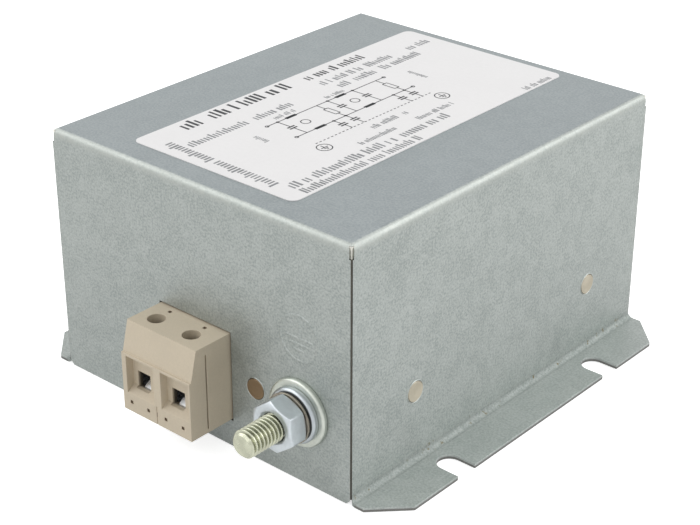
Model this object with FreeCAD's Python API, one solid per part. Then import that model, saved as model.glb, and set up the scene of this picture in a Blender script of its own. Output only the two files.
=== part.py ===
import FreeCAD, Part
import math
import os

# Folded housing cover: the axes are X across, Y along, Z up from the mounting plane
WIDTH = 84.0
LENGTH = 100.0
HEIGHT = 57.5
SHEET = 1.0
TOP_BEND = 0.6
SEAM_GAP = 0.4
RELIEF_WIDTH = 0.9
RELIEF_HEIGHT = 2.6
RELIEF_DROP = 0.5
END_WALL_CORNER = 1.1

# Slotted fixing flanges
FLANGE_BEND = 1.2
FLANGE_REACH = 10.4
FLANGE_CHAMFER = 7.2
SLOT_WIDTH = 5.6
SLOT_INSET = 6.1
SLOT_SPACING = 52.4

# Base pan that closes the cover from below
PAN_SHEET = 1.0
PAN_GAP = 0.1
PAN_BEND = 1.8
PAN_WALL = 23.0
PAN_CORNER = 3.5
PAN_TAB_WIDTH = 10.0

# Rivets welded to the pan and peened in the cover, two in each side wall and one in each end wall
RIVET_DIAMETER = 4.6
RIVET_PROUD = 0.2
RIVET_CLEARANCE = 0.05
RIVET_END_X = 16.5
RIVET_END_Z = 16.8
RIVET_SIDE_Y = 30.5
RIVET_SIDE_Z = 17.5

# Label on the top
LABEL_WIDTH = 45.4
LABEL_LENGTH = 90.0
LABEL_THICKNESS = 0.15
LABEL_CORNER = 2.0
LABEL_X = -1.1
LABEL_Y = 1.4

# Printed circuit board on its moulded posts
BOARD_THICKNESS = 1.6
BOARD_GAP = 0.9
POST_HEIGHT = 4.0
POST_WIDTH = 6.0
POST_INSET = 5.0
PEG_WIDTH = 3.0
PEG_HEAD_WIDTH = 4.6
PEG_HEAD_HEIGHT = 1.2
HOLE_CLEARANCE = 0.15
LINER_THICKNESS = 0.3
LINER_GAP = 0.6

# Two-pole terminal block, soldered to the board and standing out of the end wall
POLES = 2
POLE_PITCH = 10.16
BLOCK_END_TRIM = 0.16
BLOCK_X = -0.6
BLOCK_HEIGHT = 20.3
BLOCK_INSIDE = 6.2
BLOCK_TOP_REACH = 9.4
BLOCK_SLOPE_REACH = 11.1
BLOCK_LIP_REACH = 11.6
BLOCK_LIP_Z = 13.6
BLOCK_WINDOW_GAP = 0.35
POCKET_DEPTH = 2.0
POCKET_LEFT = 1.3
POCKET_RIGHT = 0.5
POCKET_BOTTOM = 4.3
POCKET_TOP = 13.0
POCKET_RAMP = 1.4
WIRE_OFFSET = -0.5
WIRE_ENTRY_WIDTH = 3.7
WIRE_ENTRY_HEIGHT = 3.9
WIRE_ENTRY_Z = 7.2
MARK_SIZE = 0.8
MARK_DEPTH = 0.4
MARK_SPACING = 5.0
MARK_Z = 2.3
TOP_MARK_REACH = 1.5
GROOVE_WIDTH = 0.4
GROOVE_DEPTH = 0.5
GROOVE_REACH = 6.8
GROOVE_BOTTOM = 0.9
GROOVE_TOP = 18.3

# Clamp, busbar and screw of one pole
CLAMP_WIDTH = 7.0
CLAMP_DEPTH = 5.6
CLAMP_HEIGHT = 9.2
CLAMP_FLOOR = 4.2
CLAMP_WALL = 1.0
CLAMP_BOTTOM_WALL = 1.2
CLAMP_TOP_WALL = 2.2
CLAMP_REACH = 5.3
CAVITY_GAP = 0.2
BUSBAR_WIDTH = 4.4
BUSBAR_THICKNESS = 0.8
BUSBAR_GAP = 0.1
BUSBAR_BACK = 4.6
PIN_WIDTH = 1.4
PIN_LENGTH = 3.6
CLAMP_SCREW = 3.5
THREAD_CLEARANCE = 0.1
CLAMP_SCREW_RISE = 2.5
SCREW_SLOT_WIDTH = 0.8
SCREW_SLOT_DEPTH = 0.9
ACCESS_DIAMETER = 3.9

# Earth stud with its washers and nut
STUD_X = 28.5
STUD_Z = 16.4
STUD_DIAMETER = 6.0
STUD_REACH = 16.5
STUD_CHAMFER = 0.7
STUD_HEAD_FLATS = 10.0
STUD_HEAD_HEIGHT = 4.0
STUD_CLEARANCE = 0.15
LARGE_WASHER_DIAMETER = 15.0
LARGE_WASHER_THICKNESS = 1.2
SMALL_WASHER_DIAMETER = 12.2
SMALL_WASHER_THICKNESS = 1.4
WASHER_CLEARANCE = 0.2
LOCK_WASHER_DIAMETER = 11.0
LOCK_WASHER_THICKNESS = 0.9
LOCK_WASHER_RING = 1.0
LOCK_TEETH = 8
LOCK_TOOTH_SHARE = 0.55
NUT_FLATS = 10.0
NUT_HEIGHT = 4.7
NUT_FACE = 9.5
NUT_CHAMFER_ANGLE = 30.0
NUT_TURN = 37.0
NUT_CLEARANCE = 0.05

# Common-mode chokes with a rectangular frame core
CORE_WIDTH = 32.0
CORE_HEIGHT = 34.0
CORE_DEPTH = 14.0
CORE_LEG = 8.0
WINDING_LAYERS = 3.0
WINDING_RIDGE = 0.6
WINDING_GAP = 0.1
WINDING_TURNS = 5
WINDING_SHARE = 0.75
WINDING_END_GAP = 0.4
CHOKE_MARGIN = 0.6
CHOKE_GAP = 0.7
CHOKE_BASE_THICKNESS = 1.6
CHOKE_BASE_WIDTH = 30.0
DIVIDER_THICKNESS = 1.5
WIRE_END = 1.6

# Capacitors and resistor
X_CAP_LENGTH = 31.0
X_CAP_WIDTH = 13.0
X_CAP_HEIGHT = 25.0
X_CAP_SPACING = 24.0
Y_CAP_LENGTH = 18.0
Y_CAP_WIDTH = 6.0
Y_CAP_HEIGHT = 12.5
Y_CAP_SPACING = 7.6
SMALL_CAP_LENGTH = 10.0
SMALL_CAP_WIDTH = 5.0
SMALL_CAP_HEIGHT = 9.0
SMALL_CAP_SPACING = 14.0
RESISTOR_LENGTH = 9.0
RESISTOR_DIAMETER = 3.4
RESISTOR_PITCH = 15.0
LEAD_WIDTH = 0.8
LEAD_BELOW = 1.5

# Places that follow from the sizes above
CUT = 1.0
TINY = 1e-6
HALF_W = WIDTH / 2
HALF_L = LENGTH / 2
FLANGE_EDGE = HALF_W + FLANGE_REACH
SLOT_X = HALF_W + SLOT_INSET
PAN_HALF_W = HALF_W - SHEET - PAN_GAP
PAN_HALF_L = HALF_L - SHEET - PAN_GAP
PAN_INSIDE_W = PAN_HALF_W - PAN_SHEET
PAN_INSIDE_L = PAN_HALF_L - PAN_SHEET
BOARD_HALF_W = PAN_INSIDE_W - BOARD_GAP
BOARD_HALF_L = PAN_INSIDE_L - BOARD_GAP
BOARD_BOTTOM = PAN_SHEET + POST_HEIGHT
BOARD_TOP = BOARD_BOTTOM + BOARD_THICKNESS
POST_X = BOARD_HALF_W - POST_INSET
POST_Y = BOARD_HALF_L - POST_INSET
BLOCK_LEFT = BLOCK_X - POLES * POLE_PITCH / 2 + BLOCK_END_TRIM
BLOCK_RIGHT = BLOCK_X + POLES * POLE_PITCH / 2 - BLOCK_END_TRIM
BLOCK_TOP = BOARD_TOP + BLOCK_HEIGHT
BLOCK_FACE = -HALF_L - BLOCK_LIP_REACH
POLE_XS = [BLOCK_X + (i - (POLES - 1) / 2) * POLE_PITCH for i in range(POLES)]
CLAMP_Y = -HALF_L - CLAMP_REACH
CLAMP_BOTTOM = BOARD_TOP + CLAMP_FLOOR
CLAMP_TOP = CLAMP_BOTTOM + CLAMP_HEIGHT
BUSBAR_TOP = CLAMP_TOP - CLAMP_TOP_WALL - BUSBAR_GAP
SCREW_TOP = CLAMP_TOP + CLAMP_SCREW_RISE
BUSBAR_Y = -HALF_L + BUSBAR_BACK
STUD_R = STUD_DIAMETER / 2
SMALL_WASHER_Y = -HALF_L - LARGE_WASHER_THICKNESS
LOCK_WASHER_Y = SMALL_WASHER_Y - SMALL_WASHER_THICKNESS
NUT_Y = LOCK_WASHER_Y - LOCK_WASHER_THICKNESS
WINDING_LEG_X = (CORE_WIDTH - CORE_LEG) / 2
WINDING_INSIDE_X = CORE_LEG / 2 + WINDING_GAP
WINDING_INSIDE_Y = CORE_DEPTH / 2 + WINDING_GAP
WINDING_X = WINDING_INSIDE_X + WINDING_LAYERS
WINDING_Y = WINDING_INSIDE_Y + WINDING_LAYERS
CHOKE_HALF_W = WINDING_LEG_X + WINDING_X + WINDING_RIDGE
CHOKE_HALF_DEPTH = WINDING_Y + WINDING_RIDGE
CHOKE_X = -BOARD_HALF_W + CHOKE_MARGIN + CHOKE_HALF_W
CHOKE_Y = (Y_CAP_SPACING + Y_CAP_WIDTH) / 2 + CHOKE_GAP + CHOKE_HALF_DEPTH
CORE_BOTTOM = BOARD_TOP + CHOKE_BASE_THICKNESS
X_CAP_X = BOARD_HALF_W - CHOKE_MARGIN - X_CAP_LENGTH / 2
X_CAP_YS = [-X_CAP_SPACING, 0.0, X_CAP_SPACING]
SMALL_CAP_Y = CHOKE_Y + CHOKE_HALF_DEPTH + CHOKE_GAP + SMALL_CAP_WIDTH / 2
RESISTOR_X = CHOKE_X
RESISTOR_Y = -CHOKE_Y - CHOKE_HALF_DEPTH - CHOKE_GAP - RESISTOR_DIAMETER / 2


def vec(x, y, z):
    return FreeCAD.Vector(x, y, z)


def box(x0, x1, y0, y1, z0, z1):
    """A box between two values on each axis."""
    return Part.makeBox(x1 - x0, y1 - y0, z1 - z0, vec(x0, y0, z0))


def post(x, y, width, z0, z1):
    """A square post centred on a point."""
    half = width / 2
    return box(x - half, x + half, y - half, y + half, z0, z1)


def prism(points, direction):
    """A closed outline of points, pushed along a direction."""
    wire = Part.makePolygon(points + [points[0]])
    return Part.Face(wire).extrude(direction)


def rod_x(radius, y, z, x0, x1):
    """A cylinder along X."""
    return Part.makeCylinder(radius, x1 - x0, vec(x0, y, z), vec(1, 0, 0))


def rod_y(radius, x, z, y0, y1):
    """A cylinder along Y."""
    return Part.makeCylinder(radius, y1 - y0, vec(x, y0, z), vec(0, 1, 0))


def rod_z(radius, x, y, z0, z1):
    """A cylinder along Z."""
    return Part.makeCylinder(radius, z1 - z0, vec(x, y, z0), vec(0, 0, 1))


def hexagon(flats, turn, y0, y1):
    """A six-sided bar on the stud's axis, given across its flats."""
    radius = flats / math.sqrt(3)
    corners = []
    for i in range(6):
        a = math.radians(turn + 60 * i)
        corners.append(vec(STUD_X + radius * math.cos(a), y0, STUD_Z + radius * math.sin(a)))
    return prism(corners, vec(0, y1 - y0, 0))


def turned(shape):
    """The same piece at the other end, turned half round about Z."""
    other = shape.copy()
    other.rotate(vec(0, 0, 0), vec(0, 0, 1), 180)
    return other


def both_ends(shapes):
    """The given front pieces and the same at the rear."""
    return shapes + [turned(s) for s in shapes]


def joined(shapes):
    """The shapes fused into one clean solid."""
    return shapes[0].fuse(shapes[1:]).removeSplitter()


def edges_at_height(shape, z):
    """The straight edges of a box that lie in the plane at height z."""
    found = []
    for edge in shape.Edges:
        ends = [v.Point for v in edge.Vertexes]
        if all(abs(p.z - z) < TINY for p in ends):
            found.append(edge)
    return found


def folded_shell(half_w, half_l, z0, z1, sheet, closed_z, outside, inside):
    """A box shell of one sheet, closed at closed_z by folds with an outer and an inner radius."""
    outer = box(-half_w, half_w, -half_l, half_l, z0, z1)
    inner_z0 = z0 + sheet if closed_z == z0 else z0 - CUT
    inner_z1 = z1 - sheet if closed_z == z1 else z1 + CUT
    inner = box(sheet - half_w, half_w - sheet, sheet - half_l, half_l - sheet, inner_z0, inner_z1)
    inner_closed = inner_z0 if closed_z == z0 else inner_z1
    outer = outer.makeFillet(outside, edges_at_height(outer, closed_z))
    if inside > 0:
        inner = inner.makeFillet(inside, edges_at_height(inner, inner_closed))
    return outer.cut(inner)


def block_window():
    """The opening in an end wall that the terminal block passes through."""
    gap = BLOCK_WINDOW_GAP
    return box(BLOCK_LEFT - gap, BLOCK_RIGHT + gap, -HALF_L - CUT, -HALF_L + SHEET + CUT,
               BOARD_TOP - gap, BLOCK_TOP + gap)


def wall_rods(radius, proud, depth):
    """Rods at each rivet, standing proud of the cover's outer face and reaching a depth below it."""
    rods = [rod_y(radius, RIVET_END_X, RIVET_END_Z, -HALF_L - proud, -HALF_L + depth)]
    for y in (-RIVET_SIDE_Y, RIVET_SIDE_Y):
        rods.append(rod_x(radius, y, RIVET_SIDE_Z, HALF_W - depth, HALF_W + proud))
    return both_ends(rods)


def rivet_holes():
    """Holes through the cover for the rivets."""
    return wall_rods(RIVET_DIAMETER / 2 + RIVET_CLEARANCE, CUT, SHEET + CUT)


def stud_hole():
    """The hole for an earth stud through the cover."""
    return rod_y(STUD_R + STUD_CLEARANCE, STUD_X, STUD_Z, -HALF_L - CUT, -HALF_L + SHEET + CUT)


def seam_cutters():
    """For each upright corner, the narrow seam between two walls and the relief slot above it."""
    cutters = []
    reach = SHEET * math.sqrt(2) + CUT
    relief_top = HEIGHT - RELIEF_DROP
    relief_bottom = relief_top - RELIEF_HEIGHT
    for sx in (-1, 1):
        for sy in (-1, 1):
            angle = math.degrees(math.atan2(sy, sx))
            seam = box(-reach, CUT, -SEAM_GAP / 2, SEAM_GAP / 2, -CUT, relief_bottom)
            slot = box(-reach, CUT, -RELIEF_WIDTH / 2, RELIEF_WIDTH / 2, relief_bottom, relief_top)
            for cutter in (seam, slot):
                cutter.rotate(vec(0, 0, 0), vec(0, 0, 1), angle)
                cutter.translate(vec(sx * HALF_W, sy * HALF_L, 0))
                cutters.append(cutter)
    return cutters


def mitre(sx, sy, height):
    """The half of a corner that belongs to the end wall, on that wall's side of the seam."""
    reach = SHEET + CUT
    return prism([vec(sx * HALF_W, sy * HALF_L, -CUT),
                  vec(sx * (HALF_W - reach), sy * HALF_L, -CUT),
                  vec(sx * (HALF_W - reach), sy * (HALF_L - reach), -CUT)], vec(0, 0, height + CUT))


def end_wall_corners():
    """What bevels the two lower corners of each end wall."""
    size = END_WALL_CORNER + SEAM_GAP / 2
    cutters = []
    for sx in (-1, 1):
        for sy in (-1, 1):
            corner = prism([vec(sx * HALF_W, sy * HALF_L, 0),
                            vec(sx * (HALF_W - size), sy * HALF_L, 0),
                            vec(sx * HALF_W, sy * HALF_L, size)], vec(0, -sy * SHEET, 0))
            cutters.append(corner.common(mitre(sx, sy, size)))
    return cutters


def flange_profile(side):
    """One side's fold and flange, drawn across and pushed along the cover's length."""
    x_in = HALF_W - SHEET
    x_mid = HALF_W + FLANGE_BEND
    z_mid = SHEET + FLANGE_BEND
    near = FLANGE_BEND * math.sqrt(0.5)
    far = (FLANGE_BEND + SHEET) * math.sqrt(0.5)

    def at(x, z):
        return vec(side * x, -HALF_L, z)

    def line(start, end):
        return Part.LineSegment(start, end).toShape()

    def arc(start, middle, end):
        return Part.Arc(start, middle, end).toShape()

    edges = [
        line(at(x_in, z_mid), at(HALF_W, z_mid)),
        arc(at(HALF_W, z_mid), at(x_mid - near, z_mid - near), at(x_mid, SHEET)),
        line(at(x_mid, SHEET), at(FLANGE_EDGE, SHEET)),
        line(at(FLANGE_EDGE, SHEET), at(FLANGE_EDGE, 0)),
        line(at(FLANGE_EDGE, 0), at(x_mid, 0)),
        arc(at(x_mid, 0), at(x_mid - far, z_mid - far), at(x_in, z_mid)),
    ]
    return Part.Face(Part.Wire(edges)).extrude(vec(0, LENGTH, 0))


def flange(side):
    """A slotted flange with chamfered ends, open slots and mitred ends under the wall."""
    cutters = []
    tip_x = side * (FLANGE_EDGE - FLANGE_CHAMFER)
    edge_x = side * FLANGE_EDGE
    far_x = side * (FLANGE_EDGE + CUT)
    slot_x = side * SLOT_X
    half_slot = SLOT_WIDTH / 2
    for end in (-1, 1):
        chamfer_y = end * (HALF_L - FLANGE_CHAMFER)
        far_y = end * (HALF_L + CUT)
        cutters.append(prism([vec(tip_x, far_y, -CUT), vec(tip_x, end * HALF_L, -CUT),
                              vec(edge_x, chamfer_y, -CUT), vec(far_x, chamfer_y, -CUT),
                              vec(far_x, far_y, -CUT)], vec(0, 0, SHEET + 2 * CUT)))
        cutters.append(mitre(side, end, SHEET + FLANGE_BEND + CUT))
        slot_y = end * SLOT_SPACING / 2
        cutters.append(rod_z(half_slot, slot_x, slot_y, -CUT, SHEET + CUT))
        cutters.append(box(min(slot_x, far_x), max(slot_x, far_x), slot_y - half_slot, slot_y + half_slot,
                           -CUT, SHEET + CUT))
    return flange_profile(side).cut(cutters)


def wall_foot(side):
    """What shortens a side wall at its foot, where the fold to the flange takes over."""
    x_in = side * (HALF_W - SHEET)
    x_out = side * HALF_W
    x_far = side * (HALF_W + CUT)
    inner_y = HALF_L - SHEET
    return prism([vec(x_in, -inner_y, -CUT), vec(x_out, -HALF_L, -CUT), vec(x_far, -HALF_L, -CUT),
                  vec(x_far, HALF_L, -CUT), vec(x_out, HALF_L, -CUT), vec(x_in, inner_y, -CUT)],
                 vec(0, 0, SHEET + FLANGE_BEND + CUT))


def housing_cover():
    """The hood: a top, four walls and two slotted flanges folded from one sheet."""
    shell = folded_shell(HALF_W, HALF_L, 0, HEIGHT, SHEET, HEIGHT, TOP_BEND + SHEET, TOP_BEND)
    shell = shell.cut([wall_foot(-1), wall_foot(1)])
    sheet = shell.fuse([flange(-1), flange(1)])
    cutters = seam_cutters() + end_wall_corners() + rivet_holes()
    cutters += both_ends([block_window(), stud_hole()])
    return sheet.cut(cutters).removeSplitter()


def pan_notches():
    """What leaves each end wall of the pan as a low lip with one tall tab behind the rivet."""
    y_in = -PAN_HALF_L + PAN_SHEET + CUT
    y_out = -PAN_HALF_L - CUT
    reach = PAN_HALF_W - PAN_CORNER
    left = box(-reach, RIVET_END_X - PAN_TAB_WIDTH / 2, y_out, y_in, BOARD_BOTTOM, PAN_WALL + CUT)
    right = box(RIVET_END_X + PAN_TAB_WIDTH / 2, reach, y_out, y_in, BOARD_BOTTOM, PAN_WALL + CUT)
    return both_ends([left, right])


def base_pan():
    """The tray that closes the cover from below: folds sharp inside, walls for the rivets to stand on."""
    tray = folded_shell(PAN_HALF_W, PAN_HALF_L, 0, PAN_WALL, PAN_SHEET, 0, PAN_BEND, 0)
    cutters = pan_notches()
    for sx in (-1, 1):
        for sy in (-1, 1):
            cutters.append(post(sx * PAN_HALF_W, sy * PAN_HALF_L, 2 * PAN_CORNER, -CUT, PAN_WALL + CUT))
    return tray.cut(cutters).removeSplitter()


def cover_rivets():
    """Plain rivets, each welded to the pan's wall and peened flat, just proud of the cover."""
    return Part.makeCompound(wall_rods(RIVET_DIAMETER / 2, RIVET_PROUD, SHEET + PAN_GAP))


def rating_label():
    """A thin rectangular label with rounded corners on the top."""
    x0 = LABEL_X - LABEL_WIDTH / 2
    y0 = LABEL_Y - LABEL_LENGTH / 2
    plate = box(x0, x0 + LABEL_WIDTH, y0, y0 + LABEL_LENGTH, HEIGHT, HEIGHT + LABEL_THICKNESS)
    upright = [e for e in plate.Edges if e.BoundBox.ZLength > LABEL_THICKNESS / 2]
    return plate.makeFillet(LABEL_CORNER, upright)


def lead_places():
    """The points where wires, leads and pins pass through the board, with the width of each."""
    places = [(RESISTOR_X + s * RESISTOR_PITCH / 2, RESISTOR_Y, LEAD_WIDTH) for s in (-1, 1)]
    for end in (-1, 1):
        places += [(CHOKE_X + x, end * CHOKE_Y + y, WIRE_END) for x, y in wire_ends()]
    for x in POLE_XS:
        places.append((x + WIRE_OFFSET, BUSBAR_Y, PIN_WIDTH))
        places.append((-x - WIRE_OFFSET, -BUSBAR_Y, PIN_WIDTH))
    return places


def post_places():
    """The four corners where the board stands on its posts."""
    return [(sx * POST_X, sy * POST_Y) for sx in (-1, 1) for sy in (-1, 1)]


def circuit_board():
    """The board that carries every electrical piece, with a square hole for each lead and peg."""
    plate = box(-BOARD_HALF_W, BOARD_HALF_W, -BOARD_HALF_L, BOARD_HALF_L, BOARD_BOTTOM, BOARD_TOP)
    places = lead_places() + [(x, y, PEG_WIDTH) for x, y in post_places()]
    return plate.cut([post(x, y, width + 2 * HOLE_CLEARANCE, BOARD_BOTTOM - CUT, BOARD_TOP + CUT)
                      for x, y, width in places])


def board_posts():
    """Moulded posts on the pan's floor, each with a peg through the board and a staked head."""
    posts = []
    for x, y in post_places():
        foot = post(x, y, POST_WIDTH, PAN_SHEET, BOARD_BOTTOM)
        peg = post(x, y, PEG_WIDTH, BOARD_BOTTOM, BOARD_TOP)
        head = post(x, y, PEG_HEAD_WIDTH, BOARD_TOP, BOARD_TOP + PEG_HEAD_HEIGHT)
        posts.append(joined([foot, peg, head]))
    return Part.makeCompound(posts)


def insulating_liner():
    """A plastic sheet between the solder side of the board and the pan, cut out round the posts."""
    half_w = BOARD_HALF_W - LINER_GAP
    half_l = BOARD_HALF_L - LINER_GAP
    sheet = box(-half_w, half_w, -half_l, half_l, PAN_SHEET, PAN_SHEET + LINER_THICKNESS)
    return sheet.cut([post(x, y, POST_WIDTH + 2 * LINER_GAP, 0, BOARD_BOTTOM) for x, y in post_places()])


def block_body():
    """The terminal block's side view, pushed across: flat top, slope, lip and straight front."""
    def at(reach, rise):
        return vec(BLOCK_LEFT, -HALF_L - reach, BOARD_TOP + rise)

    outline = [at(-BLOCK_INSIDE, 0), at(-BLOCK_INSIDE, BLOCK_HEIGHT), at(BLOCK_TOP_REACH, BLOCK_HEIGHT),
               at(BLOCK_SLOPE_REACH, BLOCK_LIP_Z), at(BLOCK_LIP_REACH, BLOCK_LIP_Z), at(BLOCK_LIP_REACH, 0)]
    return prism(outline, vec(BLOCK_RIGHT - BLOCK_LEFT, 0, 0))


def pole_pocket(x):
    """The sunk field round a pole's wire entry, with a ramp at its bottom."""
    x0 = x - POLE_PITCH / 2 + BLOCK_END_TRIM + POCKET_LEFT
    x1 = x + POLE_PITCH / 2 - BLOCK_END_TRIM - POCKET_RIGHT
    z0 = BOARD_TOP + POCKET_BOTTOM
    z1 = BOARD_TOP + POCKET_TOP
    return prism([vec(x0, BLOCK_FACE, z0), vec(x0, BLOCK_FACE - CUT, z0), vec(x0, BLOCK_FACE - CUT, z1),
                  vec(x0, BLOCK_FACE + POCKET_DEPTH, z1),
                  vec(x0, BLOCK_FACE + POCKET_DEPTH, z0 + POCKET_RAMP)], vec(x1 - x0, 0, 0))


def pole_cavity(x):
    """The room inside the block for a pole's clamp, screw, busbar and wire."""
    cx = x + WIRE_OFFSET
    gap = CAVITY_GAP
    half_depth = CLAMP_DEPTH / 2 + gap
    half = CLAMP_WIDTH / 2 + gap
    half_entry = WIRE_ENTRY_WIDTH / 2
    half_bar = BUSBAR_WIDTH / 2 + gap
    half_leg = BUSBAR_THICKNESS / 2 + gap
    entry_z = BOARD_TOP + WIRE_ENTRY_Z
    room = box(cx - half, cx + half, CLAMP_Y - half_depth, CLAMP_Y + half_depth,
               CLAMP_BOTTOM - gap, CLAMP_TOP + gap)
    entry = box(cx - half_entry, cx + half_entry, BLOCK_FACE - CUT, CLAMP_Y,
                entry_z - WIRE_ENTRY_HEIGHT / 2, entry_z + WIRE_ENTRY_HEIGHT / 2)
    access = rod_z(ACCESS_DIAMETER / 2, cx, CLAMP_Y, CLAMP_TOP, BLOCK_TOP + CUT)
    duct = box(cx - half_bar, cx + half_bar, CLAMP_Y, BUSBAR_Y + half_leg,
               BUSBAR_TOP - BUSBAR_THICKNESS - gap, BUSBAR_TOP + gap)
    drop = box(cx - half_bar, cx + half_bar, BUSBAR_Y - half_leg, BUSBAR_Y + half_leg,
               BOARD_TOP - CUT, BUSBAR_TOP + gap)
    return [room, entry, access, duct, drop]


def block_marks(x):
    """Small square recesses: one on the top behind the screw and two low on the front."""
    half = MARK_SIZE / 2
    y = -HALF_L - TOP_MARK_REACH
    marks = [post(x + WIRE_OFFSET, y, MARK_SIZE, BLOCK_TOP - MARK_DEPTH, BLOCK_TOP + CUT)]
    for s in (-1, 1):
        mx = x + s * MARK_SPACING / 2
        mz = BOARD_TOP + MARK_Z
        marks.append(box(mx - half, mx + half, BLOCK_FACE - CUT, BLOCK_FACE + MARK_DEPTH,
                         mz - half, mz + half))
    return marks


def block_grooves():
    """The long groove on the block's right side and the fine parting lines between the poles."""
    y = -HALF_L - GROOVE_REACH
    half = GROOVE_WIDTH / 2
    grooves = [box(BLOCK_RIGHT - GROOVE_DEPTH, BLOCK_RIGHT + CUT, y - half, y + half,
                   BOARD_TOP + GROOVE_BOTTOM, BOARD_TOP + GROOVE_TOP)]
    for i in range(POLES - 1):
        x = (POLE_XS[i] + POLE_XS[i + 1]) / 2
        grooves.append(box(x - half / 2, x + half / 2, BLOCK_FACE - CUT, BLOCK_FACE + half,
                           BOARD_TOP - CUT, BOARD_TOP + POCKET_BOTTOM))
    return grooves


def terminal_block():
    """The moulded body of the two-pole terminal block at the line end."""
    cutters = block_grooves()
    for x in POLE_XS:
        cutters.append(pole_pocket(x))
        cutters += pole_cavity(x)
        cutters += block_marks(x)
    return block_body().cut(cutters).removeSplitter()


def wire_clamps():
    """The line end's rising clamps, one a pole: a folded cage whose two top flaps hold the screw's thread."""
    clamps = []
    half_w = CLAMP_WIDTH / 2
    half_d = CLAMP_DEPTH / 2
    half_thread = CLAMP_SCREW / 2 + THREAD_CLEARANCE
    for x in POLE_XS:
        cx = x + WIRE_OFFSET
        frame = box(cx - half_w, cx + half_w, CLAMP_Y - half_d, CLAMP_Y + half_d, CLAMP_BOTTOM, CLAMP_TOP)
        window = box(cx - half_w + CLAMP_WALL, cx + half_w - CLAMP_WALL, CLAMP_Y - half_d - CUT,
                     CLAMP_Y + half_d + CUT, CLAMP_BOTTOM + CLAMP_BOTTOM_WALL, CLAMP_TOP - CLAMP_TOP_WALL)
        between = box(cx - half_thread, cx + half_thread, CLAMP_Y - half_d - CUT, CLAMP_Y + half_d + CUT,
                      BUSBAR_TOP, CLAMP_TOP + CUT)
        clamps.append(frame.cut([window, between]))
    return clamps


def clamp_screws():
    """The line end's slotted clamp screws, standing on the busbars under the access holes."""
    screws = []
    half = SCREW_SLOT_WIDTH / 2
    for x in POLE_XS:
        cx = x + WIRE_OFFSET
        slot = box(cx - half, cx + half, CLAMP_Y - CLAMP_SCREW, CLAMP_Y + CLAMP_SCREW,
                   SCREW_TOP - SCREW_SLOT_DEPTH, SCREW_TOP + CUT)
        screws.append(rod_z(CLAMP_SCREW / 2, cx, CLAMP_Y, BUSBAR_TOP, SCREW_TOP).cut(slot))
    return screws


def busbars():
    """The line end's tinned bars, which carry the current from the clamps down to the board."""
    bars = []
    half = BUSBAR_WIDTH / 2
    half_t = BUSBAR_THICKNESS / 2
    for x in POLE_XS:
        cx = x + WIRE_OFFSET
        flat = box(cx - half, cx + half, CLAMP_Y - CLAMP_DEPTH / 2, BUSBAR_Y + half_t,
                   BUSBAR_TOP - BUSBAR_THICKNESS, BUSBAR_TOP)
        leg = box(cx - half, cx + half, BUSBAR_Y - half_t, BUSBAR_Y + half_t, BOARD_TOP, BUSBAR_TOP)
        pin = box(cx - PIN_WIDTH / 2, cx + PIN_WIDTH / 2, BUSBAR_Y - half_t, BUSBAR_Y + half_t,
                  BOARD_TOP - PIN_LENGTH, BOARD_TOP)
        bars.append(joined([flat, leg, pin]))
    return bars


def earth_stud():
    """The stud: a hexagon-headed screw put through the cover from inside, with a chamfered end."""
    seat = -HALF_L + SHEET
    end = -HALF_L - STUD_REACH
    head = hexagon(STUD_HEAD_FLATS, 0, seat, seat + STUD_HEAD_HEIGHT)
    shank = rod_y(STUD_R, STUD_X, STUD_Z, end + STUD_CHAMFER, seat)
    tip = Part.makeCone(STUD_R - STUD_CHAMFER, STUD_R, STUD_CHAMFER, vec(STUD_X, end, STUD_Z), vec(0, 1, 0))
    return joined([head, shank, tip])


def washer(diameter, thickness, y):
    """A flat washer on the stud, its rear face at y."""
    disc = rod_y(diameter / 2, STUD_X, STUD_Z, y - thickness, y)
    return disc.cut(rod_y(STUD_R + WASHER_CLEARANCE, STUD_X, STUD_Z, y - thickness - CUT, y + CUT))


def lock_washer():
    """A lock washer with teeth that point inwards to the stud."""
    front = LOCK_WASHER_Y - LOCK_WASHER_THICKNESS
    root = LOCK_WASHER_DIAMETER / 2 - LOCK_WASHER_RING
    tip = STUD_R + WASHER_CLEARANCE
    half = LOCK_TOOTH_SHARE * math.pi / LOCK_TEETH
    bore = []
    for i in range(LOCK_TEETH):
        middle = 2 * math.pi * i / LOCK_TEETH
        for radius, a in ((root, middle - half), (tip, middle - half), (tip, middle + half),
                          (root, middle + half)):
            bore.append(vec(STUD_X + radius * math.cos(a), front - CUT, STUD_Z + radius * math.sin(a)))
    disc = rod_y(LOCK_WASHER_DIAMETER / 2, STUD_X, STUD_Z, front, LOCK_WASHER_Y)
    return disc.cut(prism(bore, vec(0, LOCK_WASHER_THICKNESS + 2 * CUT, 0)))


def nut():
    """A hexagon nut with a chamfered outer face and a plain bore."""
    front = NUT_Y - NUT_HEIGHT
    face = NUT_FACE / 2
    wide = NUT_HEIGHT / math.tan(math.radians(NUT_CHAMFER_ANGLE))
    cone = Part.makeCone(face, face + wide, NUT_HEIGHT, vec(STUD_X, front, STUD_Z), vec(0, 1, 0))
    body = hexagon(NUT_FLATS, NUT_TURN, front, NUT_Y).common(cone)
    bore = rod_y(STUD_R + NUT_CLEARANCE, STUD_X, STUD_Z, front - CUT, NUT_Y + CUT)
    return body.cut(bore).removeSplitter()


def choke_core():
    """The ferrite frame, standing upright, centred over its own origin."""
    half_w = CORE_WIDTH / 2
    half_d = CORE_DEPTH / 2
    top = CORE_BOTTOM + CORE_HEIGHT
    frame = box(-half_w, half_w, -half_d, half_d, CORE_BOTTOM, top)
    window = box(CORE_LEG - half_w, half_w - CORE_LEG, -half_d - CUT, half_d + CUT,
                 CORE_BOTTOM + CORE_LEG, top - CORE_LEG)
    return frame.cut(window)


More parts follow.
